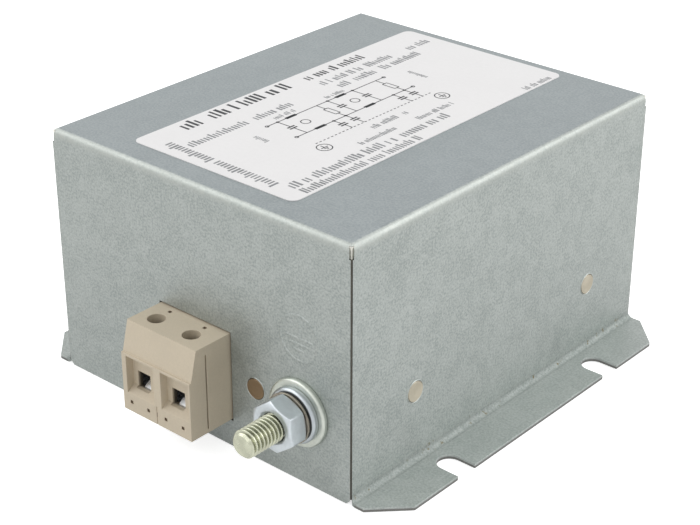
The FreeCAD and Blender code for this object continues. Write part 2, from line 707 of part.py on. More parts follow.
def wire_ends():
    """Where the four wires of a choke go down through the board, from the choke's own centre."""
    x = WINDING_LEG_X + WINDING_X - WIRE_END / 2
    y = WINDING_Y - WIRE_END / 2
    return [(sx * x, sy * y) for sx in (-1, 1) for sy in (-1, 1)]


def winding(side):
    """One winding: layers of wire round a leg of the core, with a ridge for each turn, and its two ends."""
    bottom = CORE_BOTTOM + CORE_LEG + WINDING_END_GAP
    top = CORE_BOTTOM + CORE_HEIGHT - CORE_LEG - WINDING_END_GAP
    pitch = (top - bottom) / WINDING_TURNS
    x = side * WINDING_LEG_X
    pieces = [box(x - WINDING_X, x + WINDING_X, -WINDING_Y, WINDING_Y, bottom, top)]
    half_x = WINDING_X + WINDING_RIDGE
    half_y = WINDING_Y + WINDING_RIDGE
    for i in range(WINDING_TURNS):
        middle = bottom + pitch * (i + 0.5)
        rise = pitch * WINDING_SHARE / 2
        pieces.append(box(x - half_x, x + half_x, -half_y, half_y, middle - rise, middle + rise))
    for wire_x, wire_y in wire_ends():
        if wire_x * side > 0:
            pieces.append(post(wire_x, wire_y, WIRE_END, BOARD_BOTTOM - LEAD_BELOW, bottom))
    leg = box(x - WINDING_INSIDE_X, x + WINDING_INSIDE_X, -WINDING_INSIDE_Y, WINDING_INSIDE_Y,
              bottom - CUT, top + CUT)
    return joined(pieces).cut(leg)


def choke_divider():
    """The upright insulating wall between the two windings, across the core's window."""
    half = DIVIDER_THICKNESS / 2
    return box(-half, half, -CHOKE_HALF_DEPTH, CHOKE_HALF_DEPTH, CORE_BOTTOM + CORE_LEG,
               CORE_BOTTOM + CORE_HEIGHT - CORE_LEG)


def choke_base():
    """The plastic plate that the core stands on."""
    half_w = CHOKE_BASE_WIDTH / 2
    half_d = CORE_DEPTH / 2
    return box(-half_w, half_w, -half_d, half_d, BOARD_TOP, CORE_BOTTOM)


def both_chokes(shapes):
    """A choke's pieces at both of its places, the load side's as the line side's."""
    placed = []
    for end in (-1, 1):
        for shape in shapes:
            piece = shape.copy()
            piece.translate(vec(CHOKE_X, end * CHOKE_Y, 0))
            placed.append(piece)
    return Part.makeCompound(placed)


def box_capacitor(x, y, length, width, height):
    """A film capacitor in a moulded box, standing on the board."""
    return box(x - length / 2, x + length / 2, y - width / 2, y + width / 2, BOARD_TOP, BOARD_TOP + height)


def x_capacitor(y):
    """One of the capacitors across the two lines."""
    return box_capacitor(X_CAP_X, y, X_CAP_LENGTH, X_CAP_WIDTH, X_CAP_HEIGHT)


def y_capacitors():
    """Two capacitors from the lines to earth, side by side between the chokes."""
    pair = [box_capacitor(CHOKE_X, s * Y_CAP_SPACING / 2, Y_CAP_LENGTH, Y_CAP_WIDTH, Y_CAP_HEIGHT)
            for s in (-1, 1)]
    return Part.makeCompound(pair)


def small_y_capacitors():
    """Two smaller capacitors from the lines to earth, beyond the load choke."""
    pair = [box_capacitor(CHOKE_X + s * SMALL_CAP_SPACING / 2, SMALL_CAP_Y, SMALL_CAP_LENGTH,
                          SMALL_CAP_WIDTH, SMALL_CAP_HEIGHT) for s in (-1, 1)]
    return Part.makeCompound(pair)


def discharge_resistor():
    """The resistor across the line, lying on the board, with bent leads."""
    z = BOARD_TOP + RESISTOR_DIAMETER / 2
    half = LEAD_WIDTH / 2
    reach = RESISTOR_PITCH / 2
    body = rod_x(RESISTOR_DIAMETER / 2, RESISTOR_Y, z, RESISTOR_X - RESISTOR_LENGTH / 2,
                 RESISTOR_X + RESISTOR_LENGTH / 2)
    bar = box(RESISTOR_X - reach - half, RESISTOR_X + reach + half, RESISTOR_Y - half, RESISTOR_Y + half,
              z - half, z + half)
    legs = [post(RESISTOR_X + s * reach, RESISTOR_Y, LEAD_WIDTH, BOARD_BOTTOM - LEAD_BELOW, z)
            for s in (-1, 1)]
    return joined([body, bar] + legs)


def nodes():
    """Every separate piece under its name, with like pieces of both ends in one group."""
    windings = [winding(-1), winding(1)]
    block = terminal_block()
    pieces = {
        "housing_cover": housing_cover(),
        "base_pan": base_pan(),
        "cover_rivets": cover_rivets(),
        "rating_label": rating_label(),
        "circuit_board": circuit_board(),
        "board_posts": board_posts(),
        "insulating_liner": insulating_liner(),
        "y_capacitors": y_capacitors(),
        "small_y_capacitors": small_y_capacitors(),
        "discharge_resistor": discharge_resistor(),
        "choke_cores": both_chokes([choke_core()]),
        "choke_windings": both_chokes(windings),
        "choke_dividers": both_chokes([choke_divider()]),
        "choke_bases": both_chokes([choke_base()]),
        "line_terminal_block": block,
        "load_terminal_block": turned(block),
    }
    for name, y in zip(("line", "middle", "load"), X_CAP_YS):
        pieces["x_capacitor_" + name] = x_capacitor(y)
    fitted = {
        "wire_clamps": wire_clamps(),
        "clamp_screws": clamp_screws(),
        "busbars": busbars(),
        "earth_studs": [earth_stud()],
        "large_washers": [washer(LARGE_WASHER_DIAMETER, LARGE_WASHER_THICKNESS, -HALF_L)],
        "small_washers": [washer(SMALL_WASHER_DIAMETER, SMALL_WASHER_THICKNESS, SMALL_WASHER_Y)],
        "lock_washers": [lock_washer()],
        "earth_nuts": [nut()],
    }
    for name, shapes in fitted.items():
        pieces[name] = Part.makeCompound(both_ends(shapes))
    return pieces


def main():
    """Builds every piece and writes each to its own file."""
    os.makedirs("parts", exist_ok=True)
    for name, shape in nodes().items():
        shape.exportStep("parts/" + name + ".step")
        print(name, len(shape.Solids), round(shape.Volume, 1), shape.isValid())


main()
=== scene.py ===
import math

import bmesh
import bpy
import numpy as np
from bpy.props import FloatProperty, FloatVectorProperty, PointerProperty
from mathutils import Matrix, Vector


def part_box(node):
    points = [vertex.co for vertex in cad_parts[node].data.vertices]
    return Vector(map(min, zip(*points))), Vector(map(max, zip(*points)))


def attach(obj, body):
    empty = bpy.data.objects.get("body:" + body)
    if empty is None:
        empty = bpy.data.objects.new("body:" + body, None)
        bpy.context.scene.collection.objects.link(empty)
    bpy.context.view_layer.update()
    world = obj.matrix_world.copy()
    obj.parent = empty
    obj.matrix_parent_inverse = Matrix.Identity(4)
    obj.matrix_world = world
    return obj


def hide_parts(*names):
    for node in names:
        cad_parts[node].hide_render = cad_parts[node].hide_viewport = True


bl_info = {
    "name": "EMI line filter",
    "version": (1, 0, 0),
    "blender": (4, 5, 0),
    "location": "3D View > Sidebar > Line filter",
    "description": "Finishes the pieces of a mains line filter and sets it in a studio",
    "category": "Object",
}

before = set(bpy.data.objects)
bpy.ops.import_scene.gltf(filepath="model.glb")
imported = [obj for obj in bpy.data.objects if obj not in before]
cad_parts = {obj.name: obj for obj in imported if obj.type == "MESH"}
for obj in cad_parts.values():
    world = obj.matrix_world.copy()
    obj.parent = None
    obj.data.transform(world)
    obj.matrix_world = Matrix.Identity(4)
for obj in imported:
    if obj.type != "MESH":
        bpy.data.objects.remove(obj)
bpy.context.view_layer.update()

MM = 0.001
BODY = "root"

# Merging of points and faces, and smoothing and bevelling of edges.
WELD = 1e-7
FLAT_ANGLE = math.radians(0.5)
EDGE_ANGLE = math.radians(30)
BEVEL_ANGLE = math.radians(35)
BEVEL_SEGMENTS = 2
SMOOTH_ANGLE = math.radians(40)

# The case, measured from its solids, and the turn that carries the line end to the load end.
CASE_LOW, CASE_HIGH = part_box("housing_cover")
WALL_Y = CASE_LOW.y
RIVET_PROUD = WALL_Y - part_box("cover_rivets")[0].y
CASE_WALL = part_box("cover_rivets")[1].x - RIVET_PROUD
SHEET = 1.0 * MM
HALF_TURN = np.array([-1.0, -1.0, 1.0])

# Zones of the sheet: the two places between which each one comes in, and those between which it goes out.
# The flanges, which are painted lighter and have darker cut edges.
FLANGE_RISE = (CASE_WALL + 0.2 * MM, CASE_WALL + 1.5 * MM)
FOOT_RISE = (CASE_WALL - 0.4 * MM, CASE_WALL - 0.1 * MM)
FOOT_BAND = ((SHEET, 1.2 * SHEET), (2.2 * MM, 3.2 * MM))
# The flange folds, where a painted shade lies and the roughness rises.
BEND_BAND = ((CASE_WALL - 0.1 * MM, CASE_WALL + 0.1 * MM), (CASE_WALL + 1.1 * MM, CASE_WALL + 1.6 * MM))
BEND_TOP = (2.0 * MM, 3.0 * MM)
BEND_ROUGHER = 0.24
CUT_BAND = ((0.02 * MM, 0.06 * MM), (0.5 * SHEET, 0.68 * SHEET))
# The top face, which carries a painted shade.
TOP_SHADE_RISE = (CASE_HIGH.z - 0.2 * MM, CASE_HIGH.z - 0.04 * MM)
# The band of the painted highlight along the top folds.
FOLD_HIGHLIGHT_BAND = ((CASE_HIGH.z - 2.6 * MM, CASE_HIGH.z - 1.2 * MM),
             (CASE_HIGH.z - 0.3 * MM, CASE_HIGH.z - 0.02 * MM))

# Sizes of the patterns in the finishes.
FINE_GRAIN = 0.5 * MM
SHEET_CLOUD = 14 * MM
CRYSTAL = 2.2 * MM
SCRATCH_SIZE = (0.5 * MM, 16 * MM, 16 * MM)
FLECK_SIZE = 1.6 * MM
# Patches of the painted highlight along the top folds.
FOLD_HIGHLIGHT_PATCH = 1.1 * MM
MOULD_CLOUD = 9 * MM
LABEL_GRAIN = 0.9 * MM
PLATING_PATCH = 2.6 * MM
THREAD_PATCH = 2.0 * MM
LOCK_PATCH = 1.5 * MM
PIT_SIZE = 0.22 * MM
THREAD_PIT = 0.25 * MM
TRACK_SIZE = (5 * MM, 9 * MM, 4 * MM)
STRAND_SIZE = (40 * MM, 40 * MM, 0.5 * MM)
SHINE_SIZE = 3 * MM
FIBRE_SIZE = (0.3 * MM, 2.5 * MM, 2.5 * MM)

# Heights of the fine relief in the finishes.
SHEET_RELIEF = 0.012 * MM
MOULD_RELIEF = 0.01 * MM
PIT_RELIEF = 0.006 * MM
TRACK_RELIEF = 0.03 * MM
STRAND_RELIEF = 0.08 * MM
FIBRE_RELIEF = 0.03 * MM

# Marks on a pattern's values from 0 to 1, between which it turns from one tone into the other.
PATCHES = (0.35, 0.65)
CLOUDS = (0.3, 0.7)
SHEET_TONES = (0.38, 0.67)
SHEET_GLOSS = (0.3, 0.8)
SCRATCHES = (0.70, 0.76)
FLECKS = (0.62, 0.68)
# Marks of the patches of the painted highlight along the top folds.
FOLD_HIGHLIGHT_MARKS = (0.3, 0.75)
PITS = (0.62, 0.75)
TRACKS = (0.45, 0.55)
STRANDS = (0.4, 0.6)

# What shows in the upright seams and their relief slots, where a pale bar is a painted highlight: heights,
# and depths under the walls.
SEAM_BOTTOM = 1.3 * MM
SEAM_DEPTH = 0.12 * MM
RELIEF_SLOT = 3.1 * MM
RELIEF_TOP = 0.55 * MM
RELIEF_DEPTH = 0.33 * MM

# Counts of points on a surface are rows along it, columns round it, or a section's.
# A sharpness says how tightly a rounded section turns its corners.

# The stamped earth mark. Its bars and upright are in shares of its radius.
MARK_RISE = 16.5 * MM
MARK_RADIUS = 5.0 * MM
MARK_HEIGHT = 0.07 * MM
MARK_BARS = ((0.66, 0.0), (0.42, -0.26), (0.18, -0.52))
MARK_UPRIGHT = 0.36
MARK_SECTION = 12
RIDGE_ROWS = 24
RIDGE_FULLNESS = 0.3
ROUND_COLUMNS = 96

# Terminal blocks: the entry pockets, the lips of the clamps in them and the small square recesses.
POCKET_DEPTH = 2.0 * MM
CLAMP_HALF = 3.5 * MM
LIP_RISE = 1.07 * MM
LIP_HEIGHT = 0.45 * MM
LIP_SLOPE = 0.8
LIP_SETBACK = 0.35 * MM
LIP_END_GAP = 0.15 * MM
LIP_LEFT = 0.3 * MM
LIP_RIGHT = 1.75 * MM
RECESS_ROW_Z = 2.3 * MM
RECESS_ROW_Y = 1.5 * MM - WALL_Y
RECESS_HALF = (0.5 * MM, 0.55 * MM)

# Depths under a surface between which a painted shade comes in.
RECESS_DEPTHS = (0.08 * MM, 0.14 * MM)
SIDE_DEPTHS = (0.3 * MM, 0.6 * MM)
ENTRY_DEPTHS = (0.1 * MM, 0.8 * MM)
SHAFT_DEPTHS = (0.5 * MM, 5.0 * MM)
CONE_DEPTHS = (0.1 * MM, 0.5 * MM)
TOOTH_DEPTHS = (0.42 * MM, 0.5 * MM)
CREST_DEPTH = 0.2 * MM

# Rivets, and the lips round them. A lip's middle and half width are in shares of its full width.
RIVET_DEPTH = 0.9 * MM
RIVET_DISH = 0.06 * MM
RIVET_LIP = 0.14 * MM
RIVET_ROWS = 60
RIVET_SHARPNESS = 34
RING_SECTION = 12
RING_MIDDLE = 0.75
RING_HALF = 0.5

# Earth studs. Groove and flank are in shares of half a pitch, and thread rows are per pitch.
THREAD_ROWS = 24
THREAD_COLUMNS = 72
THREAD_HIDDEN = 2.0 * MM
GROOVE_FLAT = 0.16
THREAD_FLANK = 0.66
STUD_CHAMFER = 0.75 * MM
STUD_CONE = math.radians(50)
CONE_SHARPNESS = 24
HEAD_FLATS = 10.0 * MM
HEAD_HEIGHT = 4.0 * MM
HEAD_ROWS = 40
HEAD_CORNERS = 60
HEAD_SHARPNESS = 30

# Washers and nuts. A tooth's half width and flank are in shares of the teeth's spacing.
WASHER_BORE = 3.2 * MM
WASHER_ROWS = 96
WASHER_COLUMNS = 160
WASHER_SHARPNESS = 14
LARGE_WASHER_EDGE = 0.3 * MM
SMALL_WASHER_EDGE = 0.4 * MM
LOCK_TEETH = 8
LOCK_RING = 1.0 * MM
LOCK_SHEET = 0.45 * MM
LOCK_ROWS = 40
LOCK_SHARPNESS = 12
TOOTH_COLUMNS = 36
TOOTH_HALF = 0.30
TOOTH_FLANK = 0.06
NUT_CLEARANCE = 0.06 * MM
NUT_COLUMNS = 192
NUT_ROWS = 128
NUT_CORNERS = 70
NUT_SHARPNESS = 36
NUT_CHAMFER = math.radians(60)
BORE_SLANT = math.radians(135)

# The print on the label, in millimetres along and across it from its corner.
LINE_SEED = 11
LETTER_STEP = 0.36
LETTER_WIDTHS = (0.4, 0.65)
TALL_SHARE = 0.35
LOW_LETTER = 0.72
WORD_GAP = 0.1
BOLD_LINES = ((11.6, 44.5, 0.9, 4.7), (49.5, 69.8, 1.8, 4.7))
FINE_LINES = (
    (49.5, 73.7, 6.8, 9.2), (79.8, 88.4, 6.8, 9.2), (5.9, 23.0, 9.5, 12.0), (25.2, 37.0, 9.5, 12.0),
    (49.5, 64.5, 10.4, 12.9), (66.2, 80.2, 10.4, 12.9), (28.0, 34.5, 13.2, 14.7), (44.1, 50.5, 13.6, 14.9),
    (17.3, 18.7, 17.7, 22.2), (67.8, 69.0, 17.7, 23.6), (38.0, 50.0, 31.8, 33.6), (29.8, 41.6, 35.7, 37.3),
    (48.2, 60.4, 36.1, 37.7), (4.8, 56.2, 38.7, 41.4), (4.8, 42.3, 42.2, 44.6), (76.6, 87.0, 43.0, 44.8),
    (2.1, 4.7, 6.8, 37.9),
)
DIAGRAM_START, DIAGRAM_END = 23.8, 62.0
UPPER_LINE, LOWER_LINE, DOTTED_LINE = 15.9, 24.4, 29.7
DOT_STEP = 1.2
CHOKE_PLACES = (31.2, 47.2)
CHOKE_LONG, CHOKE_WIDE = 3.2, 0.9
CORE_RING = 1.2
CAPACITOR_PLACES = (
    (27.0, UPPER_LINE, LOWER_LINE), (42.9, UPPER_LINE, LOWER_LINE), (51.2, UPPER_LINE, LOWER_LINE),
    (35.4, LOWER_LINE, DOTTED_LINE), (39.3, LOWER_LINE, DOTTED_LINE), (55.2, LOWER_LINE, DOTTED_LINE),
    (59.0, LOWER_LINE, DOTTED_LINE),
)
PLATE_GAP, PLATE_REACH, PLATE_BOLD = 0.4, 1.1, 1.8
RESISTOR_PLACES = (39.3, 59.1)
RESISTOR_TOP, RESISTOR_END, RESISTOR_HALF = 18.6, 22.2, 0.7
EARTH_PLACES = ((23.6, 32.3), (62.0, 32.7))
EARTH_RING, EARTH_STEM = 1.8, 1.1
EARTH_BARS = ((1.0, 0.0), (0.6, 0.5), (0.25, 1.0))
END_RING = 0.5
JOINT_DOT = 0.36
RING_COLUMNS = 40

# The camera, the floor, and the lamps: name, setting that holds the power, size and place.
SENSOR = 36.0
CLIP_START = 0.01
LOOK_AT = (0.0, 0.0, 0.03)
LAMPS = (
    ("key lamp", "key", 1.2, (-0.76, -0.54, 0.89)),
    ("front lamp", "front", 1.0, (0.10, -1.20, 0.90)),
    ("rear lamp", "rear", 1.2, (0.80, 0.66, 0.80)),
)
WHITE = (1.0, 1.0, 1.0, 1.0)
FLOOR_COLOR = (0.8, 0.8, 0.8, 1.0)
FLOOR_HALF = 3.0
FLOOR_DROP = 0.2 * MM
FLOOR_GLOW = 0.72
FLOOR_GLOSS = 0.3


def paint(red, green, blue):
    """A colour given as it looks on a screen, from 0 to 255, turned into linear light."""
    shown = np.array([red, green, blue]) / 255
    light = np.where(shown <= 0.04045, shown / 12.92, ((shown + 0.055) / 1.055) ** 2.4)
    return tuple(float(c) for c in light)


def length(name, millimetres, description):
    """A size that the user may change, given in millimetres and kept in metres."""
    return FloatProperty(name=name, description=description, default=millimetres * MM, min=0.0,
                         precision=5, unit="LENGTH")


def color(name, shown, description):
    """A colour that the user may change, given as it looks on a screen."""
    return FloatVectorProperty(name=name, description=description, default=paint(*shown), size=3,
                               min=0.0, max=1.0, subtype="COLOR")


class FilterSizes(bpy.types.PropertyGroup):
    """Sizes of the details that the finished pieces have beyond the solids."""
    sheet_edge: length("Sheet edge", 0.06, "Softened edge of the folded sheet")
    block_edge: length("Block edge", 0.08, "Radius of the moulded edges of the terminal blocks")
    thread_pitch: length("Thread pitch", 1.0, "Pitch of the thread on the earth studs")
    thread_depth: length("Thread depth", 0.62, "Depth of the thread on the earth studs")
    stud_radius: length("Stud radius", 2.98, "Outer radius of the thread")
    nut_face: length("Nut face", 4.75, "Radius at which the chamfer of a nut starts")
    bore_chamfer: length("Bore chamfer", 0.55, "Depth of the chamfer at a nut's bore")
    rivet_ring: length("Rivet ring", 0.24, "Width of the raised ring round each rivet")
    print_height: length("Print height", 0.02, "Thickness of the print on the label")
    print_line: length("Print line", 0.24, "Width of the lines of the printed diagram")
    mark_line: length("Mark line", 0.7, "Width of the lines of the stamped earth mark")


class FilterColors(bpy.types.PropertyGroup):
    """Colours of the finishes."""
    sheet: color("Sheet", (178, 183, 180), "Galvanised sheet steel")
    sheet_dark: color("Sheet, dark grain", (145, 152, 149), "Darker grain of the galvanised sheet")
    # Painted highlight: a brighter sheet colour along the top folds, for light on the bends.
    fold_highlight: color("Fold highlight", (174, 178, 173), "Painted highlight along the top folds")
    # Painted shade: a cooler, darker colour laid on the top face.
    top_shade: color("Top shade", (138, 146, 153), "Painted shade, cooler and darker, on the top face")
    # Painted shade: a darker sheet colour in the folds of the flanges, against their highlight.
    fold_shade: color("Fold shade", (128, 136, 132), "Painted shade in the folds of the flanges")
    cut_edge: color("Cut edge", (98, 95, 92), "Cut edges of the flanges")
    # Painted highlight: a near-white bar in the relief slots, lighter than the sheet itself.
    seam: color("Seam", (104, 101, 94), "Sheared edges that show in the upright seams")
    slot_highlight: color("Relief slot highlight", (228, 226, 218), "Painted highlight: a pale bar on the inner corner of the relief slots")
    # Painted reflection: the end rivets are brown for the terminal blocks mirrored in them; the side
    # rivets of the same kind are pale.
    fleck: color("Flecks", (126, 114, 80), "Flecks along the folds of the sheet")
    rivet_end_reflection: color("End rivet reflection", (160, 138, 112), "Polished faces of the rivets in the end walls, brown with a painted reflection of the terminal blocks")
    rivet_side: color("Side rivet", (188, 180, 162), "Polished faces of the rivets in the side walls")
    plastic: color("Terminal block", (199, 187, 166), "Moulded terminal block")
    # Painted shade: a dark colour deep inside the wire entries and screw holes of the terminal blocks.
    cavity_shade: color("Cavity shade", (38, 34, 28), "Painted shade in the depths of the terminal blocks")
    # Painted shade: a dark colour in the small square recesses of the terminal blocks.
    mark: color("Recess shade", (104, 86, 66), "Painted shade in the small square recesses of the terminal blocks")
    yellow_zinc: color("Yellow zinc", (197, 199, 178), "Studs")
    pale_zinc: color("Pale zinc", (207, 212, 203), "Large washers")
    blue_zinc: color("Blue zinc", (206, 213, 217), "Nuts and small washers")
    lock_steel: color("Lock washer", (160, 153, 140), "Toothed lock washers")
    nickel: color("Nickel", (196, 198, 200), "Clamps and screws of the terminals")
    label: color("Label", (221, 220, 220), "Label film")
    ink: color("Ink", (64, 66, 68), "Black print")
    grey_ink: color("Grey ink", (132, 134, 136), "Grey print")
    tin: color("Tin", (206, 206, 204), "Tinned busbars")
    board: color("Board", (22, 84, 50), "Green coating of the circuit board")
    track: color("Tracks", (36, 112, 66), "Green coating where it lies on copper tracks")
    weave: color("Weave", (12, 60, 34), "Glass weave that shows through the coating")
    nylon: color("Nylon", (226, 222, 206), "Posts under the board")
    liner: color("Liner", (214, 210, 190), "Insulating film under the board")
    capacitor: color("Capacitor", (216, 184, 64), "Boxes of the larger capacitors")
    small_capacitor: color("Small capacitor", (38, 92, 160), "Small capacitors to earth")
    resistor: color("Resistor", (96, 150, 166), "Lacquer of the discharge resistor")
    ferrite: color("Ferrite", (58, 58, 60), "Cores of the chokes")
    # Painted shade: a darker copper colour in the gaps between the strands.
    strand_gap_shade: color("Wire, dark", (120, 58, 26), "Painted shade in the gaps between the strands of the windings")
    wire_light: color("Wire, light", (196, 108, 58), "Crests of the strands of the windings")
    enamel: color("Enamel", (90, 40, 22), "Thicker enamel on the windings")
    fibre_dark: color("Fibre, dark", (104, 74, 50), "Darker fibres of the choke dividers")
    fibre_light: color("Fibre, light", (142, 108, 78), "Lighter fibres of the choke dividers")
    choke_base: color("Choke base", (34, 34, 36), "Moulded bases of the chokes")


class FilterStage(bpy.types.PropertyGroup):
    """The camera's place and the studio's light."""
    lens: FloatProperty(name="Lens", description="Focal length in millimetres", default=87.863, min=1.0,
                        unit="CAMERA")
    turn: FloatProperty(name="Turn", description="Turn of the camera about the upright axis",
                        default=math.radians(40.938), subtype="ANGLE")
    tilt: FloatProperty(name="Tilt", description="Tilt of the camera from straight down",
                        default=math.radians(62.683), subtype="ANGLE")
    roll: FloatProperty(name="Roll", description="Turn of the camera about its own axis",
                        default=math.radians(0.167), subtype="ANGLE")
    place: FloatVectorProperty(name="Place", description="Place of the camera",
                               default=(0.2236, -0.2599, 0.1975), subtype="TRANSLATION", unit="LENGTH")
    key: FloatProperty(name="Key light", description="Power of the lamp over the line end", default=7.2,
                       unit="POWER")
    front: FloatProperty(name="Front light", description="Power of the lamp before the line end",
                         default=2.6, unit="POWER")
    rear: FloatProperty(name="Rear light", description="Power of the lamp behind the right side",
                        default=10.5, unit="POWER")
    ambient: FloatProperty(name="Ambient", description="Strength of the light from all round",
                           default=0.53, min=0.0)


def plug(tree, socket, value):
    """Links a node's output to a socket, or sets the socket to a number or a colour."""
    if isinstance(value, bpy.types.NodeSocket):
        tree.links.new(value, socket)
    elif isinstance(value, (int, float)):
        socket.default_value = value
    else:
        values = tuple(value)
        full = values + (1.0,) if len(socket.default_value) == len(values) + 1 else values
        socket.default_value = full


def arithmetic(tree, operation, *values):
    """One step of arithmetic on values that are outputs or numbers."""
    node = tree.nodes.new("ShaderNodeMath")
    node.operation = operation
    for socket, value in zip(node.inputs, values):
        plug(tree, socket, value)
    return node.outputs["Value"]


class Finish:
    """One procedural material, built from nodes that read the piece's own Object coordinates."""

    def __init__(self, name, roughness, metallic=0.0, specular=0.5, coat=0.0):
        self.material = bpy.data.materials.new(name)
        self.material.use_nodes = True
        self.tree = self.material.node_tree
        self.nodes = self.tree.nodes
        self.shader = self.nodes["Principled BSDF"]
        self.shader.inputs["Roughness"].default_value = roughness
        self.shader.inputs["Metallic"].default_value = metallic
        self.shader.inputs["Specular IOR Level"].default_value = specular
        self.shader.inputs["Coat Weight"].default_value = coat
        self.place = self.nodes.new("ShaderNodeTexCoord").outputs["Object"]

    def put(self, socket, value):
        """Fills a socket of this finish with an output, a number or a colour."""
        plug(self.tree, socket, value)

    def stretched(self, size):
        """The piece's coordinates divided by a size, or by a size of its own along each axis."""
        node = self.nodes.new("ShaderNodeMapping")
        self.put(node.inputs["Vector"], self.place)
        node.inputs["Scale"].default_value = (1 / np.broadcast_to(size, 3)).tolist()
        return node.outputs["Vector"]

    def noise(self, size, detail=3.0, roughness=0.6, distortion=0.0):
        """Cloudy noise from 0 to 1 whose lumps have about the given size."""
        node = self.nodes.new("ShaderNodeTexNoise")
        self.put(node.inputs["Vector"], self.stretched(size))
        node.inputs["Scale"].default_value = 1.0
        node.inputs["Detail"].default_value = detail
        node.inputs["Roughness"].default_value = roughness
        node.inputs["Distortion"].default_value = distortion
        return node.outputs["Fac"]

    def cells(self, size):
        """A random grey for each cell of a pattern of cells of the given size."""
        node = self.nodes.new("ShaderNodeTexVoronoi")
        self.put(node.inputs["Vector"], self.stretched(size))
        node.inputs["Scale"].default_value = 1.0
        split = self.nodes.new("ShaderNodeSeparateColor")
        self.put(split.inputs["Color"], node.outputs["Color"])
        return split.outputs["Red"]

    def axis(self, name):
        """One coordinate of the piece, in metres."""
        split = self.nodes.new("ShaderNodeSeparateXYZ")
        self.put(split.inputs["Vector"], self.place)
        return split.outputs[name]

    def math(self, operation, *values):
        """One step of arithmetic among this finish's nodes."""
        return arithmetic(self.tree, operation, *values)

    def unsigned(self, value):
        """A value without its sign."""
        return self.math("ABSOLUTE", value)

    def times(self, first, *others):
        """The product of values, such as of zones that have to meet."""
        for other in others:
            first = self.math("MULTIPLY", first, other)
        return first

    def weighted(self, *parts):
        """The sum of values, each times its weight."""
        total, *others = [self.times(value, weight) for value, weight in parts]
        for other in others:
            total = self.math("ADD", total, other)
        return total

    def rise(self, value, marks, start=0.0, end=1.0):
        """A value spread from its low and high marks to start and end, with soft ends."""
        node = self.nodes.new("ShaderNodeMapRange")
        node.interpolation_type = "SMOOTHSTEP"
        names = ("Value", "From Min", "From Max", "To Min", "To Max")
        for name, number in zip(names, (value, *marks, start, end)):
            self.put(node.inputs[name], number)
        return node.outputs["Result"]

    def fall(self, value, marks):
        """One up to the low mark and nothing from the high one on, with soft ends."""
        return self.rise(value, marks[::-1])

    def band(self, value, rise, fall):
        """A zone that comes in between two marks and goes out between two others."""
        return self.times(self.rise(value, rise), self.fall(value, fall))

    def mix(self, share, first, second):
        """Two colours mixed by a share from 0 to 1."""
        node = self.nodes.new("ShaderNodeMix")
        node.data_type = "RGBA"
        self.put(node.inputs["Factor"], share)
        for socket, shown in zip([s for s in node.inputs if s.type == "RGBA"], (first, second)):
            self.put(socket, shown)
        return [s for s in node.outputs if s.type == "RGBA"][0]

    def over(self, base, shown, zone, share=1.0):
        """A colour laid over the base where the zone is one, at most by a share."""
        return self.mix(zone if share == 1.0 else self.times(zone, share), base, shown)

    def bump(self, height, distance):
        """Small relief: the height from 0 to 1 times a distance."""
        node = self.nodes.new("ShaderNodeBump")
        self.put(node.inputs["Height"], height)
        node.inputs["Distance"].default_value = distance
        self.put(self.shader.inputs["Normal"], node.outputs["Normal"])

    def surface(self, base, roughness=None):
        """Sets the colour and, where it varies, the roughness."""
        self.put(self.shader.inputs["Base Color"], base)
        if roughness is not None:
            self.put(self.shader.inputs["Roughness"], roughness)
        return self.material


def shade(shown, factor):
    """A colour made lighter or darker by a factor."""
    return tuple(min(1.0, c * factor) for c in shown)


class Shape:
    """Grids of points gathered into one mesh."""

    def __init__(self):
        self.points = []
        self.faces = []
        self.count = 0

    def add(self, points, faces):
        """Adds points and faces of four corners, whose numbers start after the points that are there."""
        self.points.append(points.reshape(-1, 3))
        self.faces.append(self.count + faces.reshape(-1, 4))
        self.count += len(self.points[-1])

    def grid(self, points, round_rows=False):
        """Adds a surface of rows by columns of points, whose last column joins the first."""
        rows, columns = points.shape[:2]
        index = np.arange(rows * columns).reshape(rows, columns)
        index = np.hstack([index, index[:, :1]])
        if round_rows:
            index = np.vstack([index, index[:1]])
        quads = [index[:-1, :-1], index[1:, :-1], index[1:, 1:], index[:-1, 1:]]
        self.add(points, np.stack(quads, axis=-1))

    def boxes(self, low, high, place):
        """Adds closed boxes: each corner is low or high on each axis, then put in place."""
        pick = np.array([[0, 0, 0], [1, 0, 0], [1, 1, 0], [0, 1, 0],
                         [0, 0, 1], [1, 0, 1], [1, 1, 1], [0, 1, 1]])
        sides = np.array([[0, 3, 2, 1], [4, 5, 6, 7], [0, 1, 5, 4],
                          [1, 2, 6, 5], [2, 3, 7, 6], [3, 0, 4, 7]])
        corners = low[:, None, :] * (1 - pick) + high[:, None, :] * pick
        self.add(place(corners), 8 * np.arange(len(low))[:, None, None] + sides)

    def build(self, name, material, slot, replaced=()):
        """Makes the object: its poles and seams welded, its faces outward, riding on the body."""
        mesh = bpy.data.meshes.new(name)
        mesh.from_pydata(np.concatenate(self.points), [], np.concatenate(self.faces).tolist())
        work = bmesh.new()
        work.from_mesh(mesh)
        bmesh.ops.remove_doubles(work, verts=work.verts, dist=WELD)
        bmesh.ops.recalc_face_normals(work, faces=work.faces)
        work.to_mesh(mesh)
        work.free()
        mesh.shade_smooth()
        mesh.set_sharp_from_angle(angle=SMOOTH_ANGLE)
        return settle(name, mesh, material, replaced)


def settle(name, mesh, material, replaced):
    """Links a finished mesh as a piece that rides on the body and stands for the solids it replaces."""
    piece = bpy.data.objects.new(name, mesh)
    bpy.context.scene.collection.objects.link(piece)
    mesh.materials.clear()
    mesh.materials.append(material)
    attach(piece, BODY)
    if replaced:
        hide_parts(*replaced)
    return piece


def dress(node, material):
    """Gives a solid that stays as it is its finish."""
    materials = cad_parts[node].data.materials
    materials.clear()
    materials.append(material)


